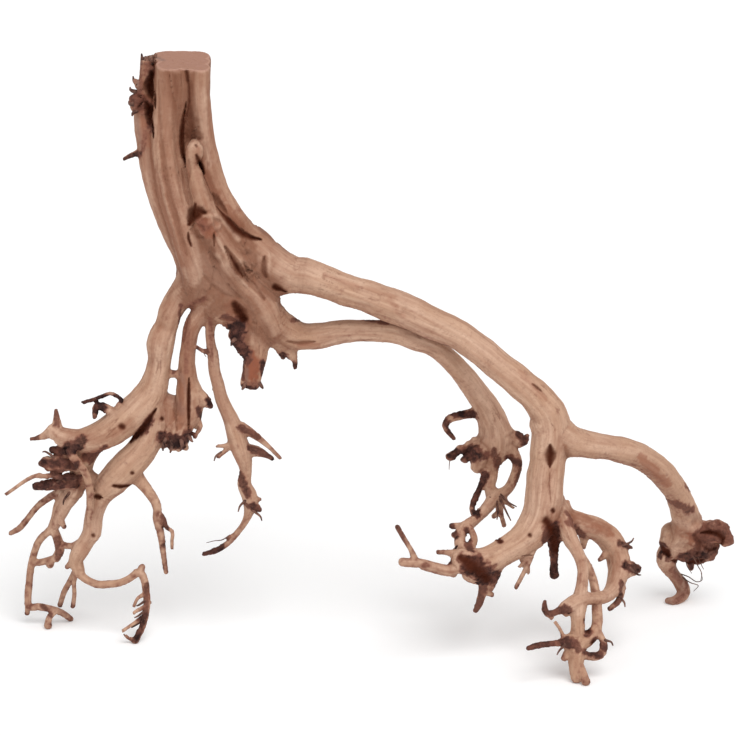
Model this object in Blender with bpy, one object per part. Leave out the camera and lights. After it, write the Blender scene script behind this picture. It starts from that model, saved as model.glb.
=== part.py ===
"""Aquarium root wood: the sawn-off foot of a small tree with its spreading roots.

The wood is one grown piece, so the model is one closed body. Every root, stem and
stub is a line of stations. Round tubes are laid along those lines, one skin is drawn
over all of them, and the skin is cut flat where the wood was sawn and where it stands.

Metres, +Z up, the front towards -Y. The origin is on the surface that the wood
stands on, under the middle of its outline.
"""
import math

import bmesh
import bpy
import numpy as np
from mathutils import Vector
from mathutils.kdtree import KDTree

# Driving dimensions
MM = 0.001
EYE_TILT = math.radians(18.0)      # the eye looks down on the wood by this angle
EYE_DISTANCE = 1900.0 * MM         # from the eye to the point it aims at
EYE_ACROSS = 184.0 * MM            # where the eye aims, on the same scale as the stations
EYE_DROP = 184.0 * MM
SAW_LEVEL = 156.8 * MM             # the middle of the sawn top, above the point the eye aims at
SAW_TILT = math.radians(6.5)       # the saw ran a little down towards the front
FLOOR_LEVEL = -142.5 * MM          # the surface it stands on, below that point

POINT_GAP = 2.0 * MM               # spacing of points along a root
TUBE_ROUNDNESS = 3                 # bevel resolution of a tube
SKIN_GRID = 0.8 * MM               # cell of the grid that the skin is drawn on
SMOOTH_TURNS = 8                   # passes of smoothing over thick wood
THIN_RADIUS = 1.6 * MM             # twigs up to this radius keep their shape
THICK_RADIUS = 5.0 * MM            # wood from this radius is smoothed fully
TRIANGLE_BUDGET = 11200            # faces left on the finished skin

# The ends of a root are rounded by these steps (share of radius forward, share of radius left)
END_STEPS = ((0.45, 0.89), (0.80, 0.60), (0.97, 0.24))

# Stations in millimetres: (across, drop, front, radius). Across and drop are read on the
# plane through the eye's aim, as the eye sees them. Front is how far the station lies
# towards the eye from that plane, along the ground.
TRUNK = {
    "heart": [(90.5, 24, -2.5, 10), (91, 50, -3, 9.8), (93.5, 75, -3, 10.3), (100, 98, -2, 12),
              (107, 118, -2, 15), (112, 132, -2, 16), (113, 144, 0, 13.5), (111, 152.5, 3, 9)],
    "groove_bed": [(93.7, 24, 6, 4.6), (93.8, 40, 5.5, 4.6), (94, 52, 3, 4.6), (94.5, 64, -1, 4.6)],
    "left_web": [(77.5, 30, -9, 4), (77, 46, -8, 4), (77.5, 62, -6, 4.6), (80, 76, -4, 5)],
    "left_stem": [(74, 30, -7, 3.8), (73.5, 40, -6, 4), (72.3, 50, -5, 4.6), (71.8, 62, -3, 4.7),
                  (74, 75, -1, 5), (77, 90, 0, 5.5), (82.4, 104, 1, 6.3), (87.7, 116, 1, 7),
                  (94, 126, 1, 7.8), (97.5, 135, 0, 8), (95.5, 143, 0, 7.8)],
    "centre_stem": [(85.5, 24, 4, 7), (85.5, 42, 4, 7), (84.5, 55, 4, 7), (83.5, 67, 4, 7.2),
                    (84.5, 80, 4.5, 8), (88, 95, 5, 9), (93, 110, 6, 9.5), (98, 124, 6, 10),
                    (101, 135, 5, 9.5), (100, 143.5, 3, 7.5)],
    "right_stem": [(99.7, 26, 7, 5.2), (99.7, 47, 7, 5), (100.3, 57, 6, 5.2), (102, 70, 5, 5.4),
                   (104.3, 82, 4, 5.9), (107.7, 95, 3, 6.6), (113.3, 107, 3, 7.6), (120, 117.5, 3, 8.4),
                   (128.5, 126, 3, 9.2), (137, 132.5, 3, 9.2), (145, 137, 3, 9)],
    "back_left_stem": [(84, 24, -9, 6.8), (84, 60, -9, 7), (87, 90, -8, 8), (93, 110, -9, 10),
                       (99, 130, -10, 11), (99, 143, -8, 8)],
    "back_right_stem": [(98, 24, -9, 6.6), (98.5, 60, -8, 6.8), (102.8, 88, -8, 7.8),
                        (110, 106, -9, 9.3), (120.5, 122, -9, 10), (134, 132, -6, 9)],
    "right_fill": [(99.5, 24, -1, 5.2), (99.8, 60, -1, 5.2), (102, 80, -1, 5)],
    "knob_strand": [(97, 71, 12, 1.8), (97.3, 75, 12.5, 4), (96, 82, 12, 3), (98, 89, 12.5, 4),
                    (101.5, 100, 13, 5), (104, 110, 13, 6), (110, 120, 12, 6), (117, 130, 11, 6)],
    "collar_crest": [(107.5, 107, 12, 3.5), (113, 112.5, 12, 3.5), (118, 119, 11, 3.5)],
    "collar_fold": [(111, 125, 12, 5), (116, 135, 12, 4.5), (121.5, 141.5, 11, 5), (127.5, 147, 9, 6),
                    (132.5, 155, 6, 7), (136, 163, 3, 6)],
    "crease_web": [(130, 136, 3, 6), (134.5, 141, 2, 4.5), (137.5, 144, 1, 2.6)],
    "arm_pit": [(128, 158, 1, 7), (135, 166, -1, 6.5), (141, 171, -2, 4.6)],
    "shoulder": [(125, 117, 0, 4.4), (128.7, 118, -1, 4.5), (132, 120.8, -1, 4.3), (135.5, 125, 0, 4)],
    "back_knot": [(100, 98, -13, 5.5), (99, 99.5, -18.5, 4.2)],
    "back_stub": [(116, 137, -10, 7), (119, 144, -18, 5), (121, 149, -24.5, 4), (122, 151.5, -28, 3.2)],
    "stem_knob": [(72, 52, -3, 4), (69, 51.5, -2.5, 4)],
    "stem_thorn": [(70, 76, 0, 1.6), (66, 77.5, 0, 1.2), (61, 80, 0, 0.8)],
    "stem_spike": [(71.5, 44, -3, 1.8), (67.5, 40.5, -2, 1.3)],
}

BRANCHES = {
    "long_branch": [(120, 117.5, 3, 8), (137, 132.5, 3, 9), (145, 137, 3, 9), (155, 138.5, 4, 8.5),
                    (165, 142, 5, 8), (175, 145.5, 6, 8), (185, 148.5, 7, 8), (195, 152, 8, 8.5),
                    (205, 156, 9, 8.3), (215, 161, 10, 8), (227.5, 166.5, 11, 7.5),
                    (240, 175.5, 13, 7.5), (250, 183.5, 15, 7.5), (260, 191.5, 17, 7.8),
                    (269.5, 200, 19, 8.2), (274.8, 208, 20, 9), (275.6, 215, 20.5, 9.3),
                    (274.5, 223, 21, 9.4)],
    "lower_branch": [(111, 130, 6, 8), (120, 143, 4, 10), (130, 154, 2, 9.5), (140, 163, -1, 8),
                     (150, 168, -3, 7), (160, 168, -3, 6.5), (170, 166, -2, 6), (180, 165.5, 0, 5.5),
                     (190, 165.5, 2, 5.5), (200, 167, 3, 5.5), (207.5, 170, 3, 5.5),
                     (215, 172.5, 2, 5), (223.5, 178.5, -2, 5), (231, 186.5, -7, 5.5),
                     (237.5, 195, -12, 6), (243.5, 204, -16, 6.7), (247, 213, -18, 8),
                     (248, 221, -18, 9.2), (244.5, 230, -16, 6)],
    "bark_lump": [(121, 160, 5, 5), (120, 168, 5, 4.5), (119, 174, 5, 3.5)],
    "bark_lump_tip": [(119, 168.5, 6, 2.2), (116, 168.7, 6, 1)],
    "broken_stub": [(127.5, 155, 3, 7), (128, 168, 3, 6.5), (128, 178, 3, 5.5), (126.5, 184, 3, 5),
                    (126, 190, 3, 4.6)],
    "stub_splinter": [(123, 186, 4, 1.8), (121.5, 192, 4, 1.4)],
    "under_twig": [(143, 170, -3, 4), (145, 175.5, -3, 3.6), (147.3, 180, -3, 1.5), (147.6, 184, -3, 0.9)],
    "under_snag": [(140, 173, -3, 3.4), (141.5, 178.5, -3, 1.2)],
    "upper_hook": [(239, 206, -17, 3), (234, 207, -15, 2.4), (229, 208, -14, 2.3), (224, 210, -13, 2),
                   (222.5, 213, -13, 1.5), (225, 217, -13, 1.3), (226.8, 219, -13, 1)],
    "lower_hook": [(240, 221, -16, 3.4), (234, 223.5, -14, 2.2), (228, 226.5, -13, 1.6),
                   (224.5, 228.3, -12, 1.9)],
    "hook_stub": [(238, 226, -14, 2.6), (235, 228, -13, 1.6), (232, 229.3, -12, 1.1)],
    "pale_lump": [(241, 226, -13, 5), (239, 233, -13, 3.8)],
    "right_thorn": [(258.5, 217.5, -16, 2), (261.5, 220.5, -15, 2.4), (264, 217.5, -14, 0.9)],
    "right_thorn_root": [(253, 217, -17, 4), (260, 221.5, -15, 2)],
    "right_subroot": [(252, 222, -16, 5), (257, 227, -14, 3), (258.7, 231, -13, 2.6),
                      (257, 239, -10, 2.5), (254, 244.5, -7, 2.6), (250, 247.5, -4, 3)],
    "centre_subroot": [(244.5, 230, -15, 5), (246, 238, -12, 3), (245, 244, -7, 3), (247, 248.5, -4, 4)],
    "dark_curl": [(243, 236, -11, 2.2), (240.5, 243, -7, 1.6), (237.5, 249.5, -3, 1.6),
                  (236, 254, 1, 1.4), (237.5, 258, 6, 1.6)],
    "chain": [(248, 248, -4, 3.8), (243.5, 253.5, 1, 3), (239, 258.5, 7, 2.6), (234, 262.5, 14, 3),
              (230.5, 266, 20, 2.8), (230, 271, 26, 2.8), (232, 276, 32, 3.5)],
    "chain_ring": [(233, 262.5, 15, 2.5), (236, 266, 20, 1.8), (237, 270, 26, 2), (235, 274, 31, 2.5)],
    "chain_knobs": [(230, 263, 15, 1.7), (226, 263, 15, 1.5)],
    "chain_knob_low": [(229, 267, 21, 2), (227, 267.5, 22, 1.5)],
    "drop_twig": [(249, 251, -4, 2), (249, 256, -5, 1.3), (247, 258, -6, 1.4)],
    "down_twig": [(250, 252, -4, 2), (250.5, 257, -5, 1.2), (252, 262.5, -6, 1.2)],
    "side_twig": [(251.5, 249, -4, 2.2), (254, 252, -5, 0.9), (258.5, 255, -6, 0.7)],
}

LEFT_ROOTS = {
    "left_leg": [(97.5, 135, 0, 8), (94.8, 142.5, 0, 7.6), (88.8, 149.5, 0, 6.5), (85.2, 156, 1, 6),
                 (83.2, 163, 1, 5.8), (80.6, 170, 2, 7), (79.7, 180, 2, 5.9), (78, 189, 2, 6.5),
                 (75, 197, 2, 7.8), (68, 205, 4, 8.3), (61, 211, 5, 8.3), (54, 216, 6, 7.8),
                 (47, 219, 6, 6.8), (41, 220, 6, 5.8), (35, 219, 6, 4.8), (30, 217.8, 6, 4.6),
                 (27, 215.5, 6, 3.8)],
    "up_thorn": [(28.5, 213, 6, 2.6), (28.3, 208.5, 6, 1.6), (28, 205, 6, 0.9)],
    "left_thorn": [(26, 215.5, 6, 3), (22, 217.8, 5, 1.8), (18.5, 219, 5, 1.1), (15, 219.6, 4, 0.8)],
    "arch_twig": [(59, 203, 8, 1.4), (60.5, 200, 8, 1), (58.5, 198, 8, 1), (55, 196.8, 8, 1),
                  (51.5, 198, 8, 1), (46, 200, 8, 1), (41.5, 201.3, 8, 1)],
    "arch_blob": [(56, 206, 7, 2.5), (51, 203.3, 8, 2), (48.5, 203, 8, 1.8), (47.3, 208.5, 8, 1.1)],
    "inner_leg": [(75.5, 199, 2, 7), (77, 209, 1, 7), (75, 218, 1, 7), (70, 226, 2, 7.6),
                  (63.5, 233, 3, 8), (57, 240, 3, 7.6), (51.5, 246, 2, 6), (49, 251, 1, 5),
                  (47.3, 256, 0, 4.6), (46.4, 261, 0, 4.7), (46, 265.5, 0, 4.8),
                  (43.5, 270, 0, 4), (40.3, 275, 0, 4.2), (38, 280, -1, 3.8), (39.2, 285, -1, 3.2)],
    "crotch": [(50, 219, 2, 5.5), (45.5, 224, 1, 5), (42.5, 229.5, 0, 5), (40.5, 235.5, -1, 5),
               (38.5, 241, -2, 5), (37, 245.5, -2, 4.8)],
    "crotch_low": [(40.5, 236, -1, 4.6), (46, 240.5, -1, 4.4), (51, 243.5, 0, 4.5)],
    "left_lump": [(41, 230, 2, 5.5), (33.5, 231, 4, 4.3), (27, 232, 4, 4), (22.3, 231.6, 4, 2.4)],
    "under_web": [(38, 224, 2, 4.5), (31, 225.5, 3, 2.6), (27, 225, 3, 1.8)],
    "light_root": [(37, 238.5, 4, 2), (31, 238.8, 6, 1.4), (25, 238, 7, 1.2), (17.5, 238, 8, 1.1),
                   (12.5, 240.5, 8, 1), (7.5, 244, 8, 0.9), (1.5, 248.3, 8, 0.8)],
    "bullet": [(36, 241.5, 2, 3.4), (30, 242, 3, 3.1), (23, 242.6, 4, 2.8), (18, 243.2, 4, 2)],
    "far_left_root": [(37.5, 241.5, -3, 2.6), (31, 245, -5, 2), (25, 248.5, -7, 1.8), (19, 253, -8, 1.7),
                      (14, 259, -9, 1.6), (9.3, 264.5, -9, 1.6), (5.5, 266.5, -9, 1.2)],
    "prop_root": [(37.5, 245, -2, 4.6), (33, 252, -3, 3.4), (29.5, 258.5, -5, 3.1),
                  (26.7, 263.5, -6, 2.5), (24, 266, -7, 2), (20.3, 269.5, -8, 1.9),
                  (16.8, 277.5, -10, 1.9), (15.2, 285, -11, 1.9), (14.5, 292.5, -13, 1.9),
                  (14, 300, -12, 1.9), (14.5, 303.5, -11, 1.9), (19, 303.3, -11, 1.8),
                  (24, 304.2, -11, 1.8), (29, 305.5, -12, 1.7), (33, 307.7, -14, 1.6),
                  (35.3, 309.5, -16.4, 1.5)],
    "prop_heel": [(14, 301, -12, 1.6), (13.6, 306.5, -12, 1.3)],
    "prop_side": [(32, 247, -3, 2.4), (28.7, 252.5, -5, 1.9), (27, 260, -6, 1.9), (25.5, 264, -7, 1.9)],
    "prop_foot": [(27.5, 305.5, -11, 1.7), (24.5, 309, -8, 1.6), (24, 312.8, -6, 2)],
    "prop_tip": [(30, 259.5, -3, 2), (32, 263.3, -2, 1.3)],
    "link": [(26.5, 264, -6, 2.2), (29, 270, -6, 2.4), (30, 275, -6, 2.4), (28, 279, -7, 2.2)],
    "link_right": [(29.5, 272, -6, 1.9), (35, 273, -4, 1.6), (40.5, 270.8, -1, 1.8)],
    "link_left": [(28, 279, -7, 2), (22.5, 280.6, -9, 1.8), (16.5, 281.6, -11, 1.8)],
    "link_lump": [(25, 282, -8, 2.2)],
    "step_root": [(38.5, 283, -1, 2.8), (40.5, 287.5, 0, 2.2), (44, 290.2, 0, 2), (48.5, 292, 1, 2),
                  (55, 292, 2, 2), (60, 291.3, 3, 1.9), (65, 289, 4, 1.9), (70, 286, 5, 2),
                  (72.2, 290, 5, 2), (73, 295, 5, 1.9), (73.5, 300, 6, 1.8), (73, 306, 8, 1.7),
                  (71.5, 312.5, 10, 1.6), (69.5, 317, 12, 1.6), (67.6, 320.3, 13.9, 1.8)],
    "step_stub": [(70, 286, 5, 2), (71, 283.5, 5, 1.6)],
    "step_hook": [(67.5, 320, 13, 1.2), (64, 319, 14, 0.9), (62, 317, 14, 0.8)],
    "step_bump": [(73.5, 300.5, 5, 1.4), (75, 301.3, 5, 0.9)],
    "step_twig_a": [(72.5, 297, 6, 1.2), (69, 299, 8, 0.9), (66.8, 303.5, 9, 0.8)],
    "step_twig_b": [(72.5, 303.5, 8, 1.2), (67.5, 306, 12, 0.9), (64.5, 309, 14, 0.8)],
    "step_twig_c": [(71, 309, 9, 1.2), (65, 313, 14, 0.9), (59, 317, 18, 0.8)],
    "knee_twig": [(38, 285, -3, 1.8), (36, 289, -6, 1.6), (32.5, 295, -11, 1.5), (30, 302.5, -17, 1.4)],
    "knee_foot": [(38, 286, -2, 1.5), (37, 291, -3, 1.2), (37.2, 297, -4, 1.1), (36.5, 303, -5, 1.2)],
    "knee_tip": [(37, 280, -1, 2), (33.5, 283.5, -2, 1.2)],
    "loop_twig": [(38, 221, 9, 2.4), (36.2, 227, 11, 2.1), (39, 231.5, 12, 2), (42, 235.3, 12, 2),
                  (44, 240, 11, 2), (45, 246, 9, 2), (45, 253, 6, 1.9), (44.5, 260, 4, 1.8)],
    "inner_twig": [(66, 236, 2, 4), (70.5, 241, 3, 3.2), (74.5, 246, 4, 2.6), (77.5, 250.5, 5, 2.3),
                   (78.8, 255, 5, 2.2), (78.3, 259, 5, 2), (80, 265, 5, 1.9), (81.5, 275, 5, 1.5),
                   (83, 286, 5, 1.2)],
    "inner_tine": [(79.5, 257, 5, 1.8), (82, 260, 6, 1.2), (83.5, 264, 7, 1.1), (86, 265.5, 8, 1),
                   (86, 270, 8, 0.9), (86, 275.5, 8, 0.8)],
}

MIDDLE_ROOTS = {
    "second_leg": [(107, 146, 5, 8), (102, 154.5, 4, 4.8), (96.3, 163, 3, 4.3), (94.4, 171.5, 2, 3.9),
                   (93.5, 181, 2, 4.2), (93.8, 190, 2, 5.2), (95, 198.5, 2, 7), (94, 206, 2, 7),
                   (90, 213, 2, 6.5), (88, 219, 2, 6.2)],
    "leg_bridge": [(83, 187, 2, 2.2), (87.5, 187, 2, 1.9), (90, 187.5, 2, 2.5)],
    "leg_web": [(80.5, 200, 1, 4), (86, 203, 1, 5), (86, 209, 1, 5)],
    "leg_bulge": [(98, 197, 3, 4), (102.5, 200.5, 4, 3), (105, 203, 4, 1.5)],
    "leg_tip_a": [(84, 219, 2, 3), (81.5, 223, 2, 1.3)],
    "leg_tip_b": [(89, 221, 3, 3), (89, 224.5, 3, 1.4)],
    "leg_tip_c": [(91.5, 220, 2, 2.6), (93, 224, 2, 1.3)],
    "leg_side_twig": [(97, 208, 3, 2), (100.3, 213, 4, 1.2), (97, 218.5, 4, 1)],
    "thin_root": [(105.5, 152, 4, 5), (105.3, 160, 4, 2.8), (105, 168, 4, 2.3), (106.5, 178, 4, 2.7),
                  (107, 185, 4, 2.9), (109, 192.5, 4, 3.1), (111, 200, 4, 3.3), (113.2, 205, 4, 3.5),
                  (115.5, 210, 4, 4), (117.3, 215, 4, 4.5), (119.5, 222.5, 4, 4.9),
                  (121.8, 229, 4, 4.2), (123, 235.5, 3, 3), (122.3, 242, 3, 3.4),
                  (125, 249, 3, 3.9), (125, 254, 2, 3), (122.7, 260.5, 2, 1.8), (118.5, 266.5, 1, 1.6),
                  (113, 272.3, 0, 1.5), (107.5, 275.4, -1, 1.4), (102, 277, -2, 1.1)],
    "thin_flake": [(127, 253, 3, 2.6), (129.5, 254.5, 3, 1.4)],
    "thin_point": [(127, 250, 3, 2.2), (130.3, 249.6, 3, 0.8)],
    "thin_side": [(119, 266, 1, 1.1), (114.5, 268.5, 1, 0.8), (109, 269.6, 1, 0.7), (103.5, 271.4, 1, 0.7)],
    "fork_twig_a": [(116, 222.5, 5, 2), (111, 223, 6, 1), (108.5, 223, 6, 0.8)],
    "fork_twig_b": [(114, 224, 5, 1.4), (108.8, 229, 7, 0.8)],
    "dark_twig_a": [(121, 213.5, 4, 2.6), (126.5, 217, 4, 2.1), (134, 223, 4, 1.2), (140, 229, 4, 0.9)],
    "dark_twig_b": [(122, 225.5, 4, 3.5), (128, 225.7, 3, 2.8), (132, 227, 3, 1.8), (136.5, 229.5, 3, 1)],
    "thin_knob": [(105.5, 176, 4, 1.8), (101.5, 175.5, 4, 1), (98.5, 173.5, 4, 0.8)],
}

RIGHT_ROOTS = {
    "right_leg": [(275.6, 215, 20.5, 9.3), (274.5, 223, 21, 9.4), (273.5, 231, 22, 9.1),
                  (272.5, 240, 23, 9.6), (271.5, 250, 25, 9.4), (270, 257.5, 26, 9),
                  (266.5, 265, 28, 8.8), (260, 271, 30, 7.6), (252.5, 275.5, 32, 7),
                  (245, 279.5, 34, 6.8), (238, 281, 36, 6.2), (231, 280.3, 38, 5.6)],
    "end_lump": [(236, 285.5, 35, 5.6), (240, 288, 34, 4.6)],
    "end_root": [(231, 282, 38, 4.6), (225, 285, 40, 3), (218.5, 284, 42, 2.6), (210, 281.6, 44, 2.3),
                 (204, 281.3, 45, 2.2), (201.3, 281, 45, 2.2)],
    "end_web": [(227, 287, 39, 1.6), (219, 285.5, 41, 1.8), (211, 283.5, 43, 1.4)],
    "end_twig": [(207.5, 280, 44, 1.8), (206, 276, 44, 1.3), (202.5, 270, 45, 1.2), (198.7, 263.5, 46, 1.2)],
    "end_stub": [(228, 277, 36, 2.4), (223, 276.2, 35, 1.3), (219, 276, 34, 1.1)],
    "dark_root": [(243, 286, 32, 4.4), (242, 292, 31, 3), (241, 297, 31, 2.1), (239.5, 302, 31, 1.8),
                  (238, 305, 31, 1.5)],
    "dark_bump": [(243, 295.5, 31, 2.2), (246, 297.3, 31, 1.2)],
    "end_strip": [(250.5, 281.5, 33, 2.4), (248, 288, 33, 1.8), (245.3, 294, 32, 1.8)],
    "leg_twig": [(266, 274, 32, 2.2), (264.8, 280, 33, 1.4), (262.5, 285, 33, 1.2), (258, 293.8, 34, 1.1)],
    "leg_twig_side": [(264, 283, 33, 1), (264.5, 287, 33, 0.7), (265, 291, 33, 0.7)],
    "leg_twig_hook": [(263.5, 279, 33, 1.2), (259.5, 283.7, 34, 0.9)],
    "square_stub": [(277, 266, 22, 4.5), (277, 273, 22, 2.8), (277, 281, 22, 2), (277, 287.5, 22, 2.3)],
    "stub_nub": [(281, 275.5, 28, 2.5), (282, 279.5, 28, 1.1)],
    "cluster_base": [(273, 250, 22, 8), (279, 258, 22, 7), (281, 265, 24, 5.5)],
    "top_spike": [(284, 257, 22, 3), (284, 250.8, 21, 1)],
    "back_root": [(281, 258, 22, 5), (291.5, 262.3, 20, 5.8), (299, 265, 17, 6), (305, 270, 16, 6.4),
                  (308.5, 277.5, 18, 6), (309.3, 285, 23, 5.5), (307.5, 292.5, 31, 4.5),
                  (303, 298, 41, 3.4), (297.5, 299.2, 48, 3), (292.5, 299.3, 52, 3.2),
                  (287.5, 301, 55, 3.8), (283, 304, 56, 3.6)],
    "bark_thorn": [(311, 285, 23, 4.5), (315.5, 284.5, 23, 3.6), (320, 284, 22, 1)],
    "bark_flake": [(309, 272.5, 17, 3), (315.5, 273.7, 17, 0.9)],
    "bark_edge": [(311.3, 294, 28, 1.6), (309.5, 300, 33, 1.6), (305, 304.3, 38, 1.3)],
    "inner_spike": [(292, 268.5, 20, 2.6), (292, 273.8, 20, 1)],
    "inner_hook": [(303.5, 276.5, 20, 2.2), (299.5, 280.3, 22, 1)],
    "front_root": [(280, 256, 23, 4.6), (282.5, 262.5, 28, 4.1), (285.5, 270, 34, 3.8),
                   (289, 276.5, 39, 3.2), (291, 282.5, 43, 2.9), (291.3, 290, 47, 2.9),
                   (290.3, 297, 51, 3.3), (289, 303, 54, 4.4), (289, 311, 57, 3.4),
                   (288.7, 317, 58, 3.6), (288, 322.5, 60, 4.8), (288, 328.5, 62, 4.2),
                   (288, 334, 63.5, 3.4), (288.3, 338.8, 65, 2.9)],
    "front_foot": [(289.5, 332, 63.5, 2.4), (291.4, 336.5, 66, 2), (292.9, 340.8, 68.5, 2.2)],
    "mid_root": [(288, 275, 35, 2.8), (293, 282, 37, 2.3), (296.3, 289, 40, 2.2), (297.8, 297, 44, 2.3),
                 (298.5, 306, 49, 2.6), (298.3, 313.5, 54, 2.8), (295.5, 318.5, 58, 3.2),
                 (290.5, 321, 60, 3.8)],
    "foot_ring": [(298.5, 316, 56, 2), (301.5, 320, 58, 1.7), (302, 324.5, 59, 1.8), (300, 327.5, 59, 2.2),
                  (296, 328.3, 60, 2), (291, 327, 61, 2)],
    "foot_knot": [(285, 321, 61, 4.4), (283, 321, 61.5, 3.4)],
    "foot_nub": [(284.5, 326, 62, 2.4), (282, 329, 63, 1.6)],
    "dark_stick": [(283, 321, 62, 2.2), (277, 321.7, 64, 1.6), (270, 322.4, 66, 1.5), (264.2, 324, 68, 1.3)],
    "side_hook": [(284, 303.5, 56, 2.6), (278.5, 305.7, 57, 1.7), (274, 307, 58, 1.7),
                  (272.4, 304.5, 58, 1.6), (272.5, 301, 58, 1.1)],
    "hook_string": [(273.5, 306.5, 58, 1.2), (277.5, 311, 59, 0.9), (280.5, 315.5, 60, 0.9),
                    (282.3, 320, 61, 1.2)],
    "side_nub": [(284.5, 305, 56, 2), (283.2, 307.5, 56, 1.1)],
    "right_arm": [(274, 212, 20, 9), (284, 220, 19, 8), (292.5, 222, 16, 7), (302.5, 223.5, 11, 6.3),
                  (311, 225, 6, 6.5), (319, 227.7, 0, 6.5), (327.5, 233, -8, 6.5), (334, 240, -16, 6.5),
                  (339, 247.5, -24, 6.5), (342, 255, -31, 6.9), (342.8, 262, -36, 7.4),
                  (340.5, 268, -39, 7), (336, 274, -43, 5.8), (333.3, 279.5, -45, 5.5),
                  (334.5, 284, -46, 4), (337.5, 288, -47, 3.3), (340.5, 292, -47, 3.7),
                  (341.8, 296, -46, 3.6), (339.5, 299.2, -42, 2.8), (336.5, 300.4, -40, 2.3),
                  (334, 300.4, -41.4, 1.7)],
    "arm_lobe": [(335, 266, -38, 5), (333.5, 271, -40, 4)],
    "burl": [(345, 263, -37, 5), (353, 266, -36, 5.4), (359.5, 265.7, -34, 5.2), (363.3, 269.3, -34, 3.4)],
    "burl_middle": [(344, 269, -39, 6), (350.5, 270.5, -38, 6.6), (355, 273.5, -38, 5)],
    "burl_low": [(343, 275.5, -41, 4.8), (349, 277, -40, 5), (354, 276.5, -39, 3.4)],
    "burl_stub": [(345.5, 279, -40, 2.6), (345.5, 283.8, -40, 1.6)],
}

ROOT_GROUPS = (TRUNK, BRANCHES, LEFT_ROOTS, MIDDLE_ROOTS, RIGHT_ROOTS)

WOOD_COLOUR = (0.485, 0.262, 0.172, 1.0)
WOOD_ROUGHNESS = 0.78


def place(across, drop, front):
    """The point in space that the eye sees at (across, drop) and that lies so far to the front."""
    sideways = across * MM - EYE_ACROSS
    upwards = EYE_DROP - drop * MM
    y = -front * MM
    cos_tilt = math.cos(EYE_TILT)
    sin_tilt = math.sin(EYE_TILT)
    z = upwards * (EYE_DISTANCE + y * cos_tilt) - EYE_DISTANCE * y * sin_tilt
    z /= EYE_DISTANCE * cos_tilt + upwards * sin_tilt
    depth = EYE_DISTANCE + y * cos_tilt - z * sin_tilt
    return sideways * depth / EYE_DISTANCE, y, z


def smooth_run(stations):
    """Points (x, y, z, radius) every POINT_GAP along a smooth curve through the stations."""
    knots = np.array([(*place(across, drop, front), radius * MM)
                      for across, drop, front, radius in stations])
    if len(knots) == 1:
        return knots
    steps = np.diff(knots, axis=0)
    lengths = np.linalg.norm(steps[:, :3], axis=1)
    slopes = steps / lengths[:, None]
    tangents = np.vstack([slopes[:1], slopes, slopes[-1:]])
    weights = np.concatenate([lengths[:1], lengths, lengths[-1:]])
    tangents = (tangents[:-1] * weights[1:, None] + tangents[1:] * weights[:-1, None])
    tangents /= (weights[1:] + weights[:-1])[:, None]
    points = []
    for index, length in enumerate(lengths):
        count = max(2, round(length / POINT_GAP))
        for step in range(count):
            t = step / count
            start_share = 2 * t**3 - 3 * t**2 + 1
            start_pull = (t**3 - 2 * t**2 + t) * length
            end_share = 3 * t**2 - 2 * t**3
            end_pull = (t**3 - t**2) * length
            points.append(start_share * knots[index] + start_pull * tangents[index]
                          + end_share * knots[index + 1] + end_pull * tangents[index + 1])
    points.append(knots[-1])
    return np.array(points)


def rounded_ends(run):
    """The same run with a dome of shrinking rings added at both ends."""
    if len(run) == 1:
        heading = np.array([0.0, 0.0, 1.0])
        first, last = heading, heading
    else:
        first = run[1, :3] - run[0, :3]
        last = run[-1, :3] - run[-2, :3]
        first = first / np.linalg.norm(first)
        last = last / np.linalg.norm(last)
    head = []
    tail = []
    for forward, left in END_STEPS:
        head.insert(0, (*(run[0, :3] - first * run[0, 3] * forward), run[0, 3] * left))
        tail.append((*(run[-1, :3] + last * run[-1, 3] * forward), run[-1, 3] * left))
    return np.vstack([head, run, tail])


def add_tube(name, points):
    """A round tube along the points, as a curve with a bevel."""
    curve = bpy.data.curves.new(name, "CURVE")
    curve.dimensions = "3D"
    curve.bevel_depth = 1.0
    curve.bevel_resolution = TUBE_ROUNDNESS
    curve.use_fill_caps = True
    spline = curve.splines.new("POLY")
    spline.points.add(len(points) - 1)
    for target, (x, y, z, radius) in zip(spline.points, points):
        target.co = (x, y, z, 1.0)
        target.radius = radius
    tube = bpy.data.objects.new(name, curve)
    bpy.context.collection.objects.link(tube)
    return tube


def evaluated_mesh(thing):
    """A plain mesh of the object as its modifiers leave it."""
    bpy.context.view_layer.update()
    graph = bpy.context.evaluated_depsgraph_get()
    return bpy.data.meshes.new_from_object(thing.evaluated_get(graph), depsgraph=graph)


def apply_modifiers(thing):
    """Bake the object's modifiers into its mesh."""
    mesh = evaluated_mesh(thing)
    thing.modifiers.clear()
    thing.data = mesh


def join_tubes(runs):
    """All the tubes in one mesh object, still overlapping."""
    together = bmesh.new()
    for name, run in runs.items():
        tube = add_tube(name, rounded_ends(run))
        together.from_mesh(evaluated_mesh(tube))
        bpy.data.objects.remove(tube)
    mesh = bpy.data.meshes.new("root_wood")
    together.to_mesh(mesh)
    together.free()
    wood = bpy.data.objects.new("root_wood", mesh)
    bpy.context.collection.objects.link(wood)
    return wood


def draw_skin(wood):
    """One closed skin over the overlapping tubes."""
    skin = wood.modifiers.new("skin", "REMESH")
    skin.mode = "VOXEL"
    skin.voxel_size = SKIN_GRID
    apply_modifiers(wood)


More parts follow.
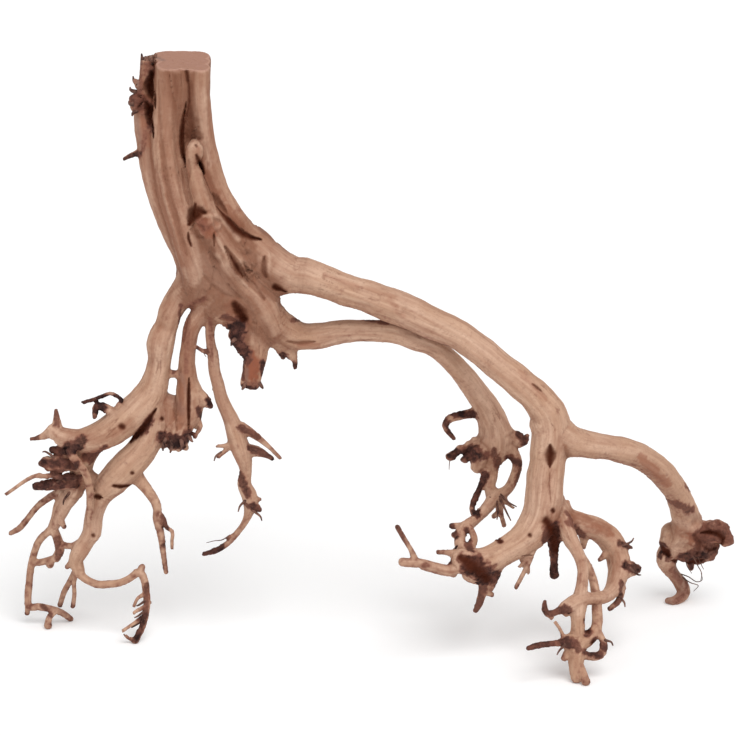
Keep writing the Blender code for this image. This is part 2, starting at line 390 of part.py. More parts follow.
def soften_thick_wood(wood, runs):
    """Smooth the skin where the wood is thick, and leave thin twigs as they are."""
    centres = np.vstack(list(runs.values()))
    tree = KDTree(len(centres))
    for index, (x, y, z, _) in enumerate(centres):
        tree.insert((x, y, z), index)
    tree.balance()
    thick = wood.vertex_groups.new(name="thick")
    for vertex in wood.data.vertices:
        _, index, _ = tree.find(vertex.co)
        share = (centres[index, 3] - THIN_RADIUS) / (THICK_RADIUS - THIN_RADIUS)
        thick.add([vertex.index], min(max(share, 0.0), 1.0), "REPLACE")
    smooth = wood.modifiers.new("soften", "SMOOTH")
    smooth.factor = 0.5
    smooth.iterations = SMOOTH_TURNS
    smooth.vertex_group = "thick"
    apply_modifiers(wood)


def keep_largest_piece(body):
    """Drop loose scraps and sealed inner walls."""
    unseen = set(body.verts)
    pieces = []
    while unseen:
        front = [unseen.pop()]
        piece = set(front)
        while front:
            vertex = front.pop()
            for edge in vertex.link_edges:
                other = edge.other_vert(vertex)
                if other in unseen:
                    unseen.discard(other)
                    piece.add(other)
                    front.append(other)
        pieces.append(piece)
    pieces.sort(key=len)
    for piece in pieces[:-1]:
        bmesh.ops.delete(body, geom=list(piece), context="VERTS")


def cut_flat(body, level, away):
    """Take off what lies beyond the level in the direction away, and close the cut flat."""
    everything = body.verts[:] + body.edges[:] + body.faces[:]
    bmesh.ops.bisect_plane(body, geom=everything, dist=1e-6, plane_co=(0, 0, level),
                           plane_no=away, clear_outer=True)
    rim = [edge for edge in body.edges if edge.is_boundary]
    bmesh.ops.holes_fill(body, edges=rim, sides=0)
    bmesh.ops.triangulate(body, faces=[face for face in body.faces if len(face.verts) > 3])


def thin_out(wood):
    """Bring the skin down to the triangle budget."""
    triangles = sum(len(face.vertices) - 2 for face in wood.data.polygons)
    fewer = wood.modifiers.new("fewer", "DECIMATE")
    fewer.ratio = TRIANGLE_BUDGET / triangles
    fewer.use_collapse_triangulate = True
    apply_modifiers(wood)


def stand_on_origin(body):
    """Move the body so that the origin is on the floor under the middle of its outline."""
    lows = [min(vertex.co[axis] for vertex in body.verts) for axis in range(3)]
    highs = [max(vertex.co[axis] for vertex in body.verts) for axis in range(3)]
    middle = Vector(((lows[0] + highs[0]) / 2, (lows[1] + highs[1]) / 2, lows[2]))
    for vertex in body.verts:
        vertex.co -= middle
    return middle


def wood_material():
    material = bpy.data.materials.new("wood")
    material.use_nodes = True
    shader = material.node_tree.nodes["Principled BSDF"]
    shader.inputs["Base Color"].default_value = WOOD_COLOUR
    shader.inputs["Roughness"].default_value = WOOD_ROUGHNESS
    shader.inputs["Metallic"].default_value = 0.0
    return material


def build():
    for thing in list(bpy.data.objects):
        bpy.data.objects.remove(thing)
    runs = {}
    for group in ROOT_GROUPS:
        for name, stations in group.items():
            runs[name] = smooth_run(stations)
    wood = join_tubes(runs)
    draw_skin(wood)
    soften_thick_wood(wood, runs)
    thin_out(wood)
    body = bmesh.new()
    body.from_mesh(wood.data)
    cut_flat(body, SAW_LEVEL, away=(0, -math.sin(SAW_TILT), math.cos(SAW_TILT)))
    cut_flat(body, FLOOR_LEVEL, away=(0, 0, -1))
    keep_largest_piece(body)
    middle = stand_on_origin(body)
    body.to_mesh(wood.data)
    body.free()
    wood.data.materials.clear()
    wood.data.materials.append(wood_material())
    wood.data.shade_smooth()
    wood.data.set_sharp_from_angle(angle=math.radians(40))
    size = wood.dimensions
    print("root wood", [round(value / MM, 1) for value in size], "mm,",
          len(wood.data.polygons), "faces, middle", [round(value / MM, 3) for value in middle])


build()
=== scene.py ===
# %% [markdown]
# # Root wood for an aquarium
# The real object is the sawn-off foot of a small tree: a leaning trunk of stems that grew
# together, a swollen collar, forked legs, two branches, and a long arm with a burl at its
# end. It is one grown piece of bare, weathered wood. The plan: lay a tube along every root,
# draw one skin over them, pull the skin onto a smooth field around the roots, carve the
# grain and the damage into it, and then paint it by what lies where.

# %% Load the fixed frame
import math

import bpy
import numpy as np
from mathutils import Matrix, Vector
from mathutils.bvhtree import BVHTree


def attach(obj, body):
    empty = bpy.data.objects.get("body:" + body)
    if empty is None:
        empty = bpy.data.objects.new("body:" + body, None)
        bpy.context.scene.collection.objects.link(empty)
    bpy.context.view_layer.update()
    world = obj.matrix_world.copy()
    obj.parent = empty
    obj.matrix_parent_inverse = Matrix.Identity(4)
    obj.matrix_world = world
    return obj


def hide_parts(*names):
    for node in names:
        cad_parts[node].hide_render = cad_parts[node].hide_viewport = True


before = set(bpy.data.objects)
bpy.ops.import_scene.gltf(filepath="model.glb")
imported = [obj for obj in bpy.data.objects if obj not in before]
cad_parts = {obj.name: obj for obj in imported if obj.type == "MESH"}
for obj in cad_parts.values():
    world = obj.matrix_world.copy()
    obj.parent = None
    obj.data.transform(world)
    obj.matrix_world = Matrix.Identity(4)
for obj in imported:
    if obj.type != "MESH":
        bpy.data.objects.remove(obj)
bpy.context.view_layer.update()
MM = 0.001
SKIN_CELL = 0.6 * MM

# %% [markdown]
# The solids under this scene were laid out from one eye that looks down by 18 degrees from
# 1.9 m away. The camera stands at that eye. A long lens keeps the outline nearly free of
# perspective, and every station below is read in the same view, in millimetres across and
# down from the upper left corner of the view.

# %% The eye and the camera
EYE_TILT = math.radians(18.0)
EYE_DISTANCE = 1900.0 * MM
EYE_ACROSS = 184.0 * MM
EYE_DROP = 184.0 * MM
VIEW_WIDTH = 368.0 * MM
MIDDLE = np.array([2.155, -10.091, -142.5]) * MM   # the frame's origin, seen from the aim point

aim = Vector(-MIDDLE)
eye = aim + Vector((0, -math.cos(EYE_TILT), math.sin(EYE_TILT))) * EYE_DISTANCE
bpy.ops.object.select_all(action="DESELECT")
bpy.ops.object.camera_add(location=eye, rotation=(math.pi / 2 - EYE_TILT, 0, 0))
camera = bpy.context.object
camera.name = "eye_camera"
camera.data.sensor_width = 36.0
camera.data.lens = 36.0 * EYE_DISTANCE / VIEW_WIDTH
camera.data.clip_end = 20.0
bpy.context.scene.camera = camera
print("lens in mm:", round(camera.data.lens, 1))

# %% [markdown]
# Now the stations. Each root is a list of (across, drop, front, radius): where the eye sees
# its middle, how far it comes to the front, and how thick it is there. They are the same
# stations that the solid was made from, so the finished wood stays where the solid is.

# %% Stations of every root
TRUNK = {
    "heart": [(90.5, 24, -2.5, 10), (91, 50, -3, 9.8), (93.5, 75, -3, 10.3), (100, 98, -2, 12),
        (107, 118, -2, 15), (112, 132, -2, 16), (113, 144, 0, 13.5), (111, 152.5, 3, 9)],
    "groove_bed": [(93.7, 24, 6, 4.6), (93.8, 40, 5.5, 4.6), (94, 52, 3, 4.6),
        (94.5, 64, -1, 4.6)],
    "left_web": [(77.5, 30, -9, 4), (77, 46, -8, 4), (77.5, 62, -6, 4.6), (80, 76, -4, 5)],
    "left_stem": [(74, 30, -7, 3.8), (73.5, 40, -6, 4), (72.3, 50, -5, 4.6), (71.8, 62, -3, 4.7),
        (74, 75, -1, 5), (77, 90, 0, 5.5), (82.4, 104, 1, 6.3), (87.7, 116, 1, 7),
        (94, 126, 1, 7.8), (97.5, 135, 0, 8), (95.5, 143, 0, 7.8)],
    "centre_stem": [(85.5, 24, 4, 7), (85.5, 42, 4, 7), (84.5, 55, 4, 7), (83.5, 67, 4, 7.2),
        (84.5, 80, 4.5, 8), (88, 95, 5, 9), (93, 110, 6, 9.5), (98, 124, 6, 10),
        (101, 135, 5, 9.5), (100, 143.5, 3, 7.5)],
    "right_stem": [(99.7, 26, 7, 5.2), (99.7, 47, 7, 5), (100.3, 57, 6, 5.2), (102, 70, 5, 5.4),
        (104.3, 82, 4, 5.9), (107.7, 95, 3, 6.6), (113.3, 107, 3, 7.6), (120, 117.5, 3, 8.4),
        (128.5, 126, 3, 9.2), (137, 132.5, 3, 9.2), (145, 137, 3, 9)],
    "back_left_stem": [(84, 24, -9, 6.8), (84, 60, -9, 7), (87, 90, -8, 8), (93, 110, -9, 10),
        (99, 130, -10, 11), (99, 143, -8, 8)],
    "back_right_stem": [(98, 24, -9, 6.6), (98.5, 60, -8, 6.8), (102.8, 88, -8, 7.8),
        (110, 106, -9, 9.3), (120.5, 122, -9, 10), (134, 132, -6, 9)],
    "right_fill": [(99.5, 24, -1, 5.2), (99.8, 60, -1, 5.2), (102, 80, -1, 5)],
    "knob_strand": [(97, 71, 12, 1.8), (97.3, 75, 12.5, 4), (96, 82, 12, 3), (98, 89, 12.5, 4),
        (101.5, 100, 13, 5), (104, 110, 13, 6), (110, 120, 12, 6), (117, 130, 11, 6)],
    "collar_crest": [(107.5, 107, 12, 3.5), (113, 112.5, 12, 3.5), (118, 119, 11, 3.5)],
    "collar_fold": [(111, 125, 12, 5), (116, 135, 12, 4.5), (121.5, 141.5, 11, 5),
        (127.5, 147, 9, 6), (132.5, 155, 6, 7), (136, 163, 3, 6)],
    "crease_web": [(130, 136, 3, 6), (134.5, 141, 2, 4.5), (137.5, 144, 1, 2.6)],
    "arm_pit": [(128, 158, 1, 7), (135, 166, -1, 6.5), (141, 171, -2, 4.6)],
    "shoulder": [(125, 117, 0, 4.4), (128.7, 118, -1, 4.5), (132, 120.8, -1, 4.3),
        (135.5, 125, 0, 4)],
    "back_knot": [(100, 98, -13, 5.5), (99, 99.5, -18.5, 4.2)],
    "back_stub": [(116, 137, -10, 7), (119, 144, -18, 5), (121, 149, -24.5, 4),
        (122, 151.5, -28, 3.2)],
    "stem_knob": [(72, 52, -3, 4), (69, 51.5, -2.5, 4)],
    "stem_thorn": [(70, 76, 0, 1.6), (66, 77.5, 0, 1.2), (61, 80, 0, 0.8)],
    "stem_spike": [(71.5, 44, -3, 1.8), (67.5, 40.5, -2, 1.3)],
}

BRANCHES = {
    "long_branch": [(120, 117.5, 3, 8), (137, 132.5, 3, 9), (145, 137, 3, 9), (155, 138.5, 4, 8.5),
        (165, 142, 5, 8), (175, 145.5, 6, 8), (185, 148.5, 7, 8), (195, 152, 8, 8.5),
        (205, 156, 9, 8.3), (215, 161, 10, 8), (227.5, 166.5, 11, 7.5), (240, 175.5, 13, 7.5),
        (250, 183.5, 15, 7.5), (260, 191.5, 17, 7.8), (269.5, 200, 19, 8.2), (274.8, 208, 20, 9),
        (275.6, 215, 20.5, 9.3), (274.5, 223, 21, 9.4)],
    "lower_branch": [(111, 130, 6, 8), (120, 143, 4, 10), (130, 154, 2, 9.5), (140, 163, -1, 8),
        (150, 168, -3, 7), (160, 168, -3, 6.5), (170, 166, -2, 6), (180, 165.5, 0, 5.5),
        (190, 165.5, 2, 5.5), (200, 167, 3, 5.5), (207.5, 170, 3, 5.5), (215, 172.5, 2, 5),
        (223.5, 178.5, -2, 5), (231, 186.5, -7, 5.5), (237.5, 195, -12, 6), (243.5, 204, -16, 6.7),
        (247, 213, -18, 8), (248, 221, -18, 9.2), (244.5, 230, -16, 6)],
    "bark_lump": [(121, 160, 5, 5), (119.3, 168, 5, 4.5), (121.3, 174, 5, 2.8),
        (122.6, 178, 5, 1.5)],
    "bark_lump_tip": [(119, 168.5, 6, 2.2), (116, 168.7, 6, 1)],
    "broken_stub": [(127.5, 155, 3, 7), (128, 168, 3, 6.5), (128, 178, 3, 5.5), (126.5, 184, 3, 5),
        (126, 190, 3, 4.6)],
    "stub_splinter": [(123, 186, 4, 1.8), (121.5, 192, 4, 1.4)],
    "under_twig": [(143, 170, -3, 4), (145, 175.5, -3, 3.6), (147.3, 180, -3, 1.5),
        (147.6, 184, -3, 0.9)],
    "under_snag": [(140, 173, -3, 3.4), (141.5, 178.5, -3, 1.2)],
    "upper_hook": [(239, 206, -17, 3), (234, 207, -15, 2.4), (229, 208, -14, 2.3),
        (224, 210, -13, 2), (222.5, 213, -13, 1.5), (225, 217, -13, 1.3), (226.8, 219, -13, 1)],
    "lower_hook": [(240, 221, -16, 3.4), (234, 223.5, -14, 2.2), (228, 226.5, -13, 1.6),
        (224.5, 228.3, -12, 1.9)],
    "hook_stub": [(238, 226, -14, 2.6), (235, 228, -13, 1.6), (232, 229.3, -12, 1.1)],
    "pale_lump": [(241, 226, -13, 5), (239, 233, -13, 3.8)],
    "right_thorn": [(258.5, 217.5, -16, 2), (261.5, 220.5, -15, 2.4), (264, 217.5, -14, 0.9)],
    "right_thorn_root": [(253, 217, -17, 4), (260, 221.5, -15, 2)],
    "right_subroot": [(252, 222, -16, 5), (257, 227, -14, 3), (258.7, 231, -13, 2.6),
        (257, 239, -10, 2.5), (254, 244.5, -7, 2.6), (250, 247.5, -4, 3)],
    "centre_subroot": [(244.5, 230, -15, 5), (246, 238, -12, 3), (245, 244, -7, 3),
        (247, 248.5, -4, 4)],
    "dark_curl": [(243, 236, -11, 2.2), (240.5, 243, -7, 1.6), (237.5, 249.5, -3, 1.6),
        (236, 254, 1, 1.4), (237.5, 258, 6, 1.6)],
    "chain": [(248, 248, -4, 3.8), (243.5, 253.5, 1, 3), (239, 258.5, 7, 2.6), (234, 262.5, 14, 3),
        (230.5, 266, 20, 2.8), (230, 271, 26, 2.8), (232, 276, 32, 3.5)],
    "chain_ring": [(233, 262.5, 15, 2.5), (236, 266, 20, 1.8), (237, 270, 26, 2),
        (235, 274, 31, 2.5)],
    "chain_knobs": [(230, 263, 15, 1.7), (226, 263, 15, 1.5)],
    "chain_knob_low": [(229, 267, 21, 2), (227, 267.5, 22, 1.5)],
    "drop_twig": [(249, 251, -4, 2), (249, 256, -5, 1.3), (247, 258, -6, 1.4)],
    "down_twig": [(250, 252, -4, 2), (250.5, 257, -5, 1.2), (252, 262.5, -6, 1.2)],
    "side_twig": [(251.5, 249, -4, 2.2), (254, 252, -5, 0.9), (258.5, 255, -6, 0.7)],
}

LEFT_ROOTS = {
    "left_leg": [(97.5, 135, 0, 8), (94.8, 142.5, 0, 7.6), (88.8, 149.5, 0, 6.5),
        (85.2, 156, 1, 6), (83.2, 163, 1, 5.8), (80.6, 170, 2, 7), (79.7, 180, 2, 5.9),
        (78, 189, 2, 6.5), (75, 197, 2, 7.8), (68, 205, 4, 8.3), (61, 211, 5, 8.3),
        (54, 216, 6, 7.8), (47, 219, 6, 6.8), (41, 220, 6, 5.8), (35, 219, 6, 4.8),
        (30, 217.8, 6, 4.6), (27, 215.5, 6, 3.8)],
    "up_thorn": [(28.5, 213, 6, 2.6), (28.3, 208.5, 6, 1.6), (28, 205, 6, 0.9)],
    "left_thorn": [(26, 215.5, 6, 3), (22, 217.8, 5, 1.8), (18.5, 219, 5, 1.1),
        (15, 219.6, 4, 0.8)],
    "arch_twig": [(59, 203, 8, 1.4), (60.5, 200, 8, 1), (58.5, 198, 8, 1), (55, 196.8, 8, 1),
        (51.5, 198, 8, 1), (46, 200, 8, 1), (41.5, 201.3, 8, 1)],
    "arch_blob": [(56, 206, 7, 2.5), (51, 203.3, 8, 2), (48.5, 203, 8, 1.8),
        (47.3, 208.5, 8, 1.1)],
    "inner_leg": [(75.5, 199, 2, 7), (77, 209, 1, 7), (75, 218, 1, 7), (70, 226, 2, 7.6),
        (63.5, 233, 3, 8), (57, 240, 3, 7.6), (51.5, 246, 2, 6), (49, 251, 1, 5),
        (47.3, 256, 0, 4.6), (46.4, 261, 0, 4.7), (46, 265.5, 0, 4.8), (43.5, 270, 0, 4),
        (40.3, 275, 0, 4.2), (38, 280, -1, 3.8), (39.2, 285, -1, 3.2)],
    "crotch": [(50, 219, 2, 5.5), (45.5, 224, 1, 5), (42.5, 229.5, 0, 5), (40.5, 235.5, -1, 5),
        (38.5, 241, -2, 5), (37, 245.5, -2, 4.8)],
    "crotch_low": [(40.5, 236, -1, 4.6), (46, 240.5, -1, 4.4), (51, 243.5, 0, 4.5)],
    "left_lump": [(41, 230, 2, 5.5), (33.5, 231, 4, 4.3), (27, 232, 4, 4), (22.3, 231.6, 4, 2.4)],
    "under_web": [(38, 224, 2, 4.5), (31, 225.5, 3, 2.6), (27, 225, 3, 1.8)],
    "light_root": [(37, 238.5, 4, 2), (31, 238.8, 6, 1.4), (25, 238, 7, 1.2), (17.5, 238, 8, 1.1),
        (12.5, 240.5, 8, 1), (7.5, 244, 8, 0.9), (1.5, 248.3, 8, 0.8)],
    "bullet": [(36, 241.5, 2, 3.4), (30, 242, 3, 3.1), (23, 242.6, 4, 2.8), (18, 243.2, 4, 2)],
    "far_left_root": [(37.5, 241.5, -3, 2.6), (31, 245, -5, 2), (25, 248.5, -7, 1.8),
        (19, 253, -8, 1.7), (14, 259, -9, 1.6), (9.3, 264.5, -9, 1.6), (5.5, 266.5, -9, 1.2)],
    "prop_root": [(37.5, 245, -2, 4.6), (33, 252, -3, 3.4), (29.5, 258.5, -5, 3.1),
        (26.7, 263.5, -6, 2.5), (24, 266, -7, 2), (20.3, 269.5, -8, 1.9), (16.8, 277.5, -10, 1.9),
        (15.2, 285, -11, 1.9), (14.5, 292.5, -13, 1.9), (14, 300, -12, 1.9),
        (14.5, 303.5, -11, 1.9), (19, 303.3, -11, 1.8), (24, 304.2, -11, 1.8),
        (29, 305.5, -12, 1.7), (33, 307.7, -14, 1.6), (35.3, 309.5, -16.4, 1.5)],
    "prop_heel": [(14, 301, -12, 1.6), (13.6, 306.5, -12, 1.3)],
    "prop_side": [(32, 247, -3, 2.4), (28.7, 252.5, -5, 1.9), (27, 260, -6, 1.9),
        (25.5, 264, -7, 1.9)],
    "prop_foot": [(27.5, 305.5, -11, 1.7), (24.5, 309, -8, 1.6), (24, 312.8, -6, 2)],
    "prop_tip": [(30, 259.5, -3, 2), (32, 263.3, -2, 1.3)],
    "link": [(26.5, 264, -6, 2.2), (29, 270, -6, 2.4), (30, 275, -6, 2.4), (28, 279, -7, 2.2)],
    "link_right": [(29.5, 272, -6, 1.9), (35, 273, -4, 1.6), (40.5, 270.8, -1, 1.8)],
    "link_left": [(28, 279, -7, 2), (22.5, 280.6, -9, 1.8), (16.5, 281.6, -11, 1.8)],
    "link_lump": [(25, 282, -8, 2.2)],
    "step_root": [(38.5, 283, -1, 2.8), (40.5, 287.5, 0, 2.2), (44, 290.2, 0, 2),
        (48.5, 292, 1, 2), (55, 292, 2, 2), (60, 291.3, 3, 1.9), (65, 289, 4, 1.9),
        (70, 286, 5, 2), (72.2, 290, 5, 2), (73, 295, 5, 1.9), (73.5, 300, 6, 1.8),
        (73, 306, 8, 1.7), (71.5, 312.5, 10, 1.6), (69.5, 317, 12, 1.6), (67.6, 320.3, 13.9, 1.8)],
    "step_stub": [(70, 286, 5, 2), (71, 283.5, 5, 1.6)],
    "step_hook": [(67.5, 320, 13, 1.2), (64, 319, 14, 0.9), (62, 317, 14, 0.8)],
    "step_bump": [(73.5, 300.5, 5, 1.4), (75, 301.3, 5, 0.9)],
    "step_twig_a": [(72.5, 297, 6, 1.2), (69, 299, 8, 0.9), (66.8, 303.5, 9, 0.8)],
    "step_twig_b": [(72.5, 303.5, 8, 1.2), (67.5, 306, 12, 0.9), (64.5, 309, 14, 0.8)],
    "step_twig_c": [(71, 309, 9, 1.2), (65, 313, 14, 0.9), (59, 317, 18, 0.8)],
    "knee_twig": [(38, 285, -3, 1.8), (36, 289, -6, 1.6), (32.5, 295, -11, 1.5),
        (30, 302.5, -17, 1.4)],
    "knee_foot": [(38, 286, -2, 1.5), (37, 291, -3, 1.2), (37.2, 297, -4, 1.1),
        (36.5, 303, -5, 1.2)],
    "knee_tip": [(37, 280, -1, 2), (33.5, 283.5, -2, 1.2)],
    "loop_twig": [(38, 221, 9, 2.4), (36.2, 227, 11, 2.1), (39, 231.5, 12, 2), (42, 235.3, 12, 2),
        (44, 240, 11, 2), (45, 246, 9, 2), (45, 253, 6, 1.9), (44.5, 260, 4, 1.8)],
    "inner_twig": [(66, 236, 2, 4), (70.5, 241, 3, 3.2), (74.5, 246, 4, 2.6),
        (77.5, 250.5, 5, 2.3), (78.8, 255, 5, 2.2), (78.3, 259, 5, 2), (80, 265, 5, 1.9),
        (81.5, 275, 5, 1.5), (83, 286, 5, 1.2)],
    "inner_tine": [(79.5, 257, 5, 1.8), (82, 260, 6, 1.2), (83.5, 264, 7, 1.1), (86, 265.5, 8, 1),
        (86, 270, 8, 0.9), (86, 275.5, 8, 0.8)],
}

MIDDLE_ROOTS = {
    "second_leg": [(107, 146, 5, 8), (102, 154.5, 4, 4.8), (96.3, 163, 3, 4.3),
        (94.4, 171.5, 2, 3.9), (93.5, 181, 2, 4.2), (93.8, 190, 2, 5.2), (95, 198.5, 2, 7),
        (94, 206, 2, 7), (90, 213, 2, 6.5), (88, 219, 2, 6.2)],
    "leg_bridge": [(83, 187, 2, 2.2), (87.5, 187, 2, 1.9), (90, 187.5, 2, 2.5)],
    "leg_web": [(80.5, 200, 1, 4), (86, 203, 1, 5), (86, 209, 1, 5)],
    "leg_bulge": [(98, 197, 3, 4), (102.5, 200.5, 4, 3), (105, 203, 4, 1.5)],
    "leg_tip_a": [(84, 219, 2, 3), (81.5, 223, 2, 1.3)],
    "leg_tip_b": [(89, 221, 3, 3), (89, 224.5, 3, 1.4)],
    "leg_tip_c": [(91.5, 220, 2, 2.6), (93, 224, 2, 1.3)],
    "leg_side_twig": [(97, 208, 3, 2), (100.3, 213, 4, 1.2), (97, 218.5, 4, 1)],
    "thin_root": [(105.5, 152, 4, 5), (105.3, 160, 4, 2.8), (105, 168, 4, 2.3),
        (106.5, 178, 4, 2.7), (107, 185, 4, 2.9), (109, 192.5, 4, 3.1), (111, 200, 4, 3.3),
        (113.2, 205, 4, 3.5), (115.5, 210, 4, 4), (117.3, 215, 4, 4.5), (119.5, 222.5, 4, 4.9),
        (121.8, 229, 4, 4.2), (123, 235.5, 3, 3), (122.3, 242, 3, 3.4), (125, 249, 3, 3.9),
        (125, 254, 2, 3), (122.7, 260.5, 2, 1.8), (118.5, 266.5, 1, 1.6), (113, 272.3, 0, 1.5),
        (107.5, 275.4, -1, 1.4), (102, 277, -2, 1.1)],
    "thin_flake": [(127, 253, 3, 2.6), (129.5, 254.5, 3, 1.4)],
    "thin_point": [(127, 250, 3, 2.2), (130.3, 249.6, 3, 0.8)],
    "thin_side": [(119, 266, 1, 1.1), (114.5, 268.5, 1, 0.8), (109, 269.6, 1, 0.7),
        (103.5, 271.4, 1, 0.7)],
    "fork_twig_a": [(116, 222.5, 5, 2), (111, 223, 6, 1), (108.5, 223, 6, 0.8)],
    "fork_twig_b": [(114, 224, 5, 1.4), (108.8, 229, 7, 0.8)],
    "dark_twig_a": [(121, 213.5, 4, 2.6), (126.5, 217, 4, 2.1), (134, 223, 4, 1.2),
        (140, 229, 4, 0.9)],
    "dark_twig_b": [(122, 225.5, 4, 3.5), (128, 225.7, 3, 2.8), (132, 227, 3, 1.8),
        (136.5, 229.5, 3, 1)],
    "thin_knob": [(105.5, 176, 4, 1.8), (101.5, 175.5, 4, 1), (98.5, 173.5, 4, 0.8)],
}

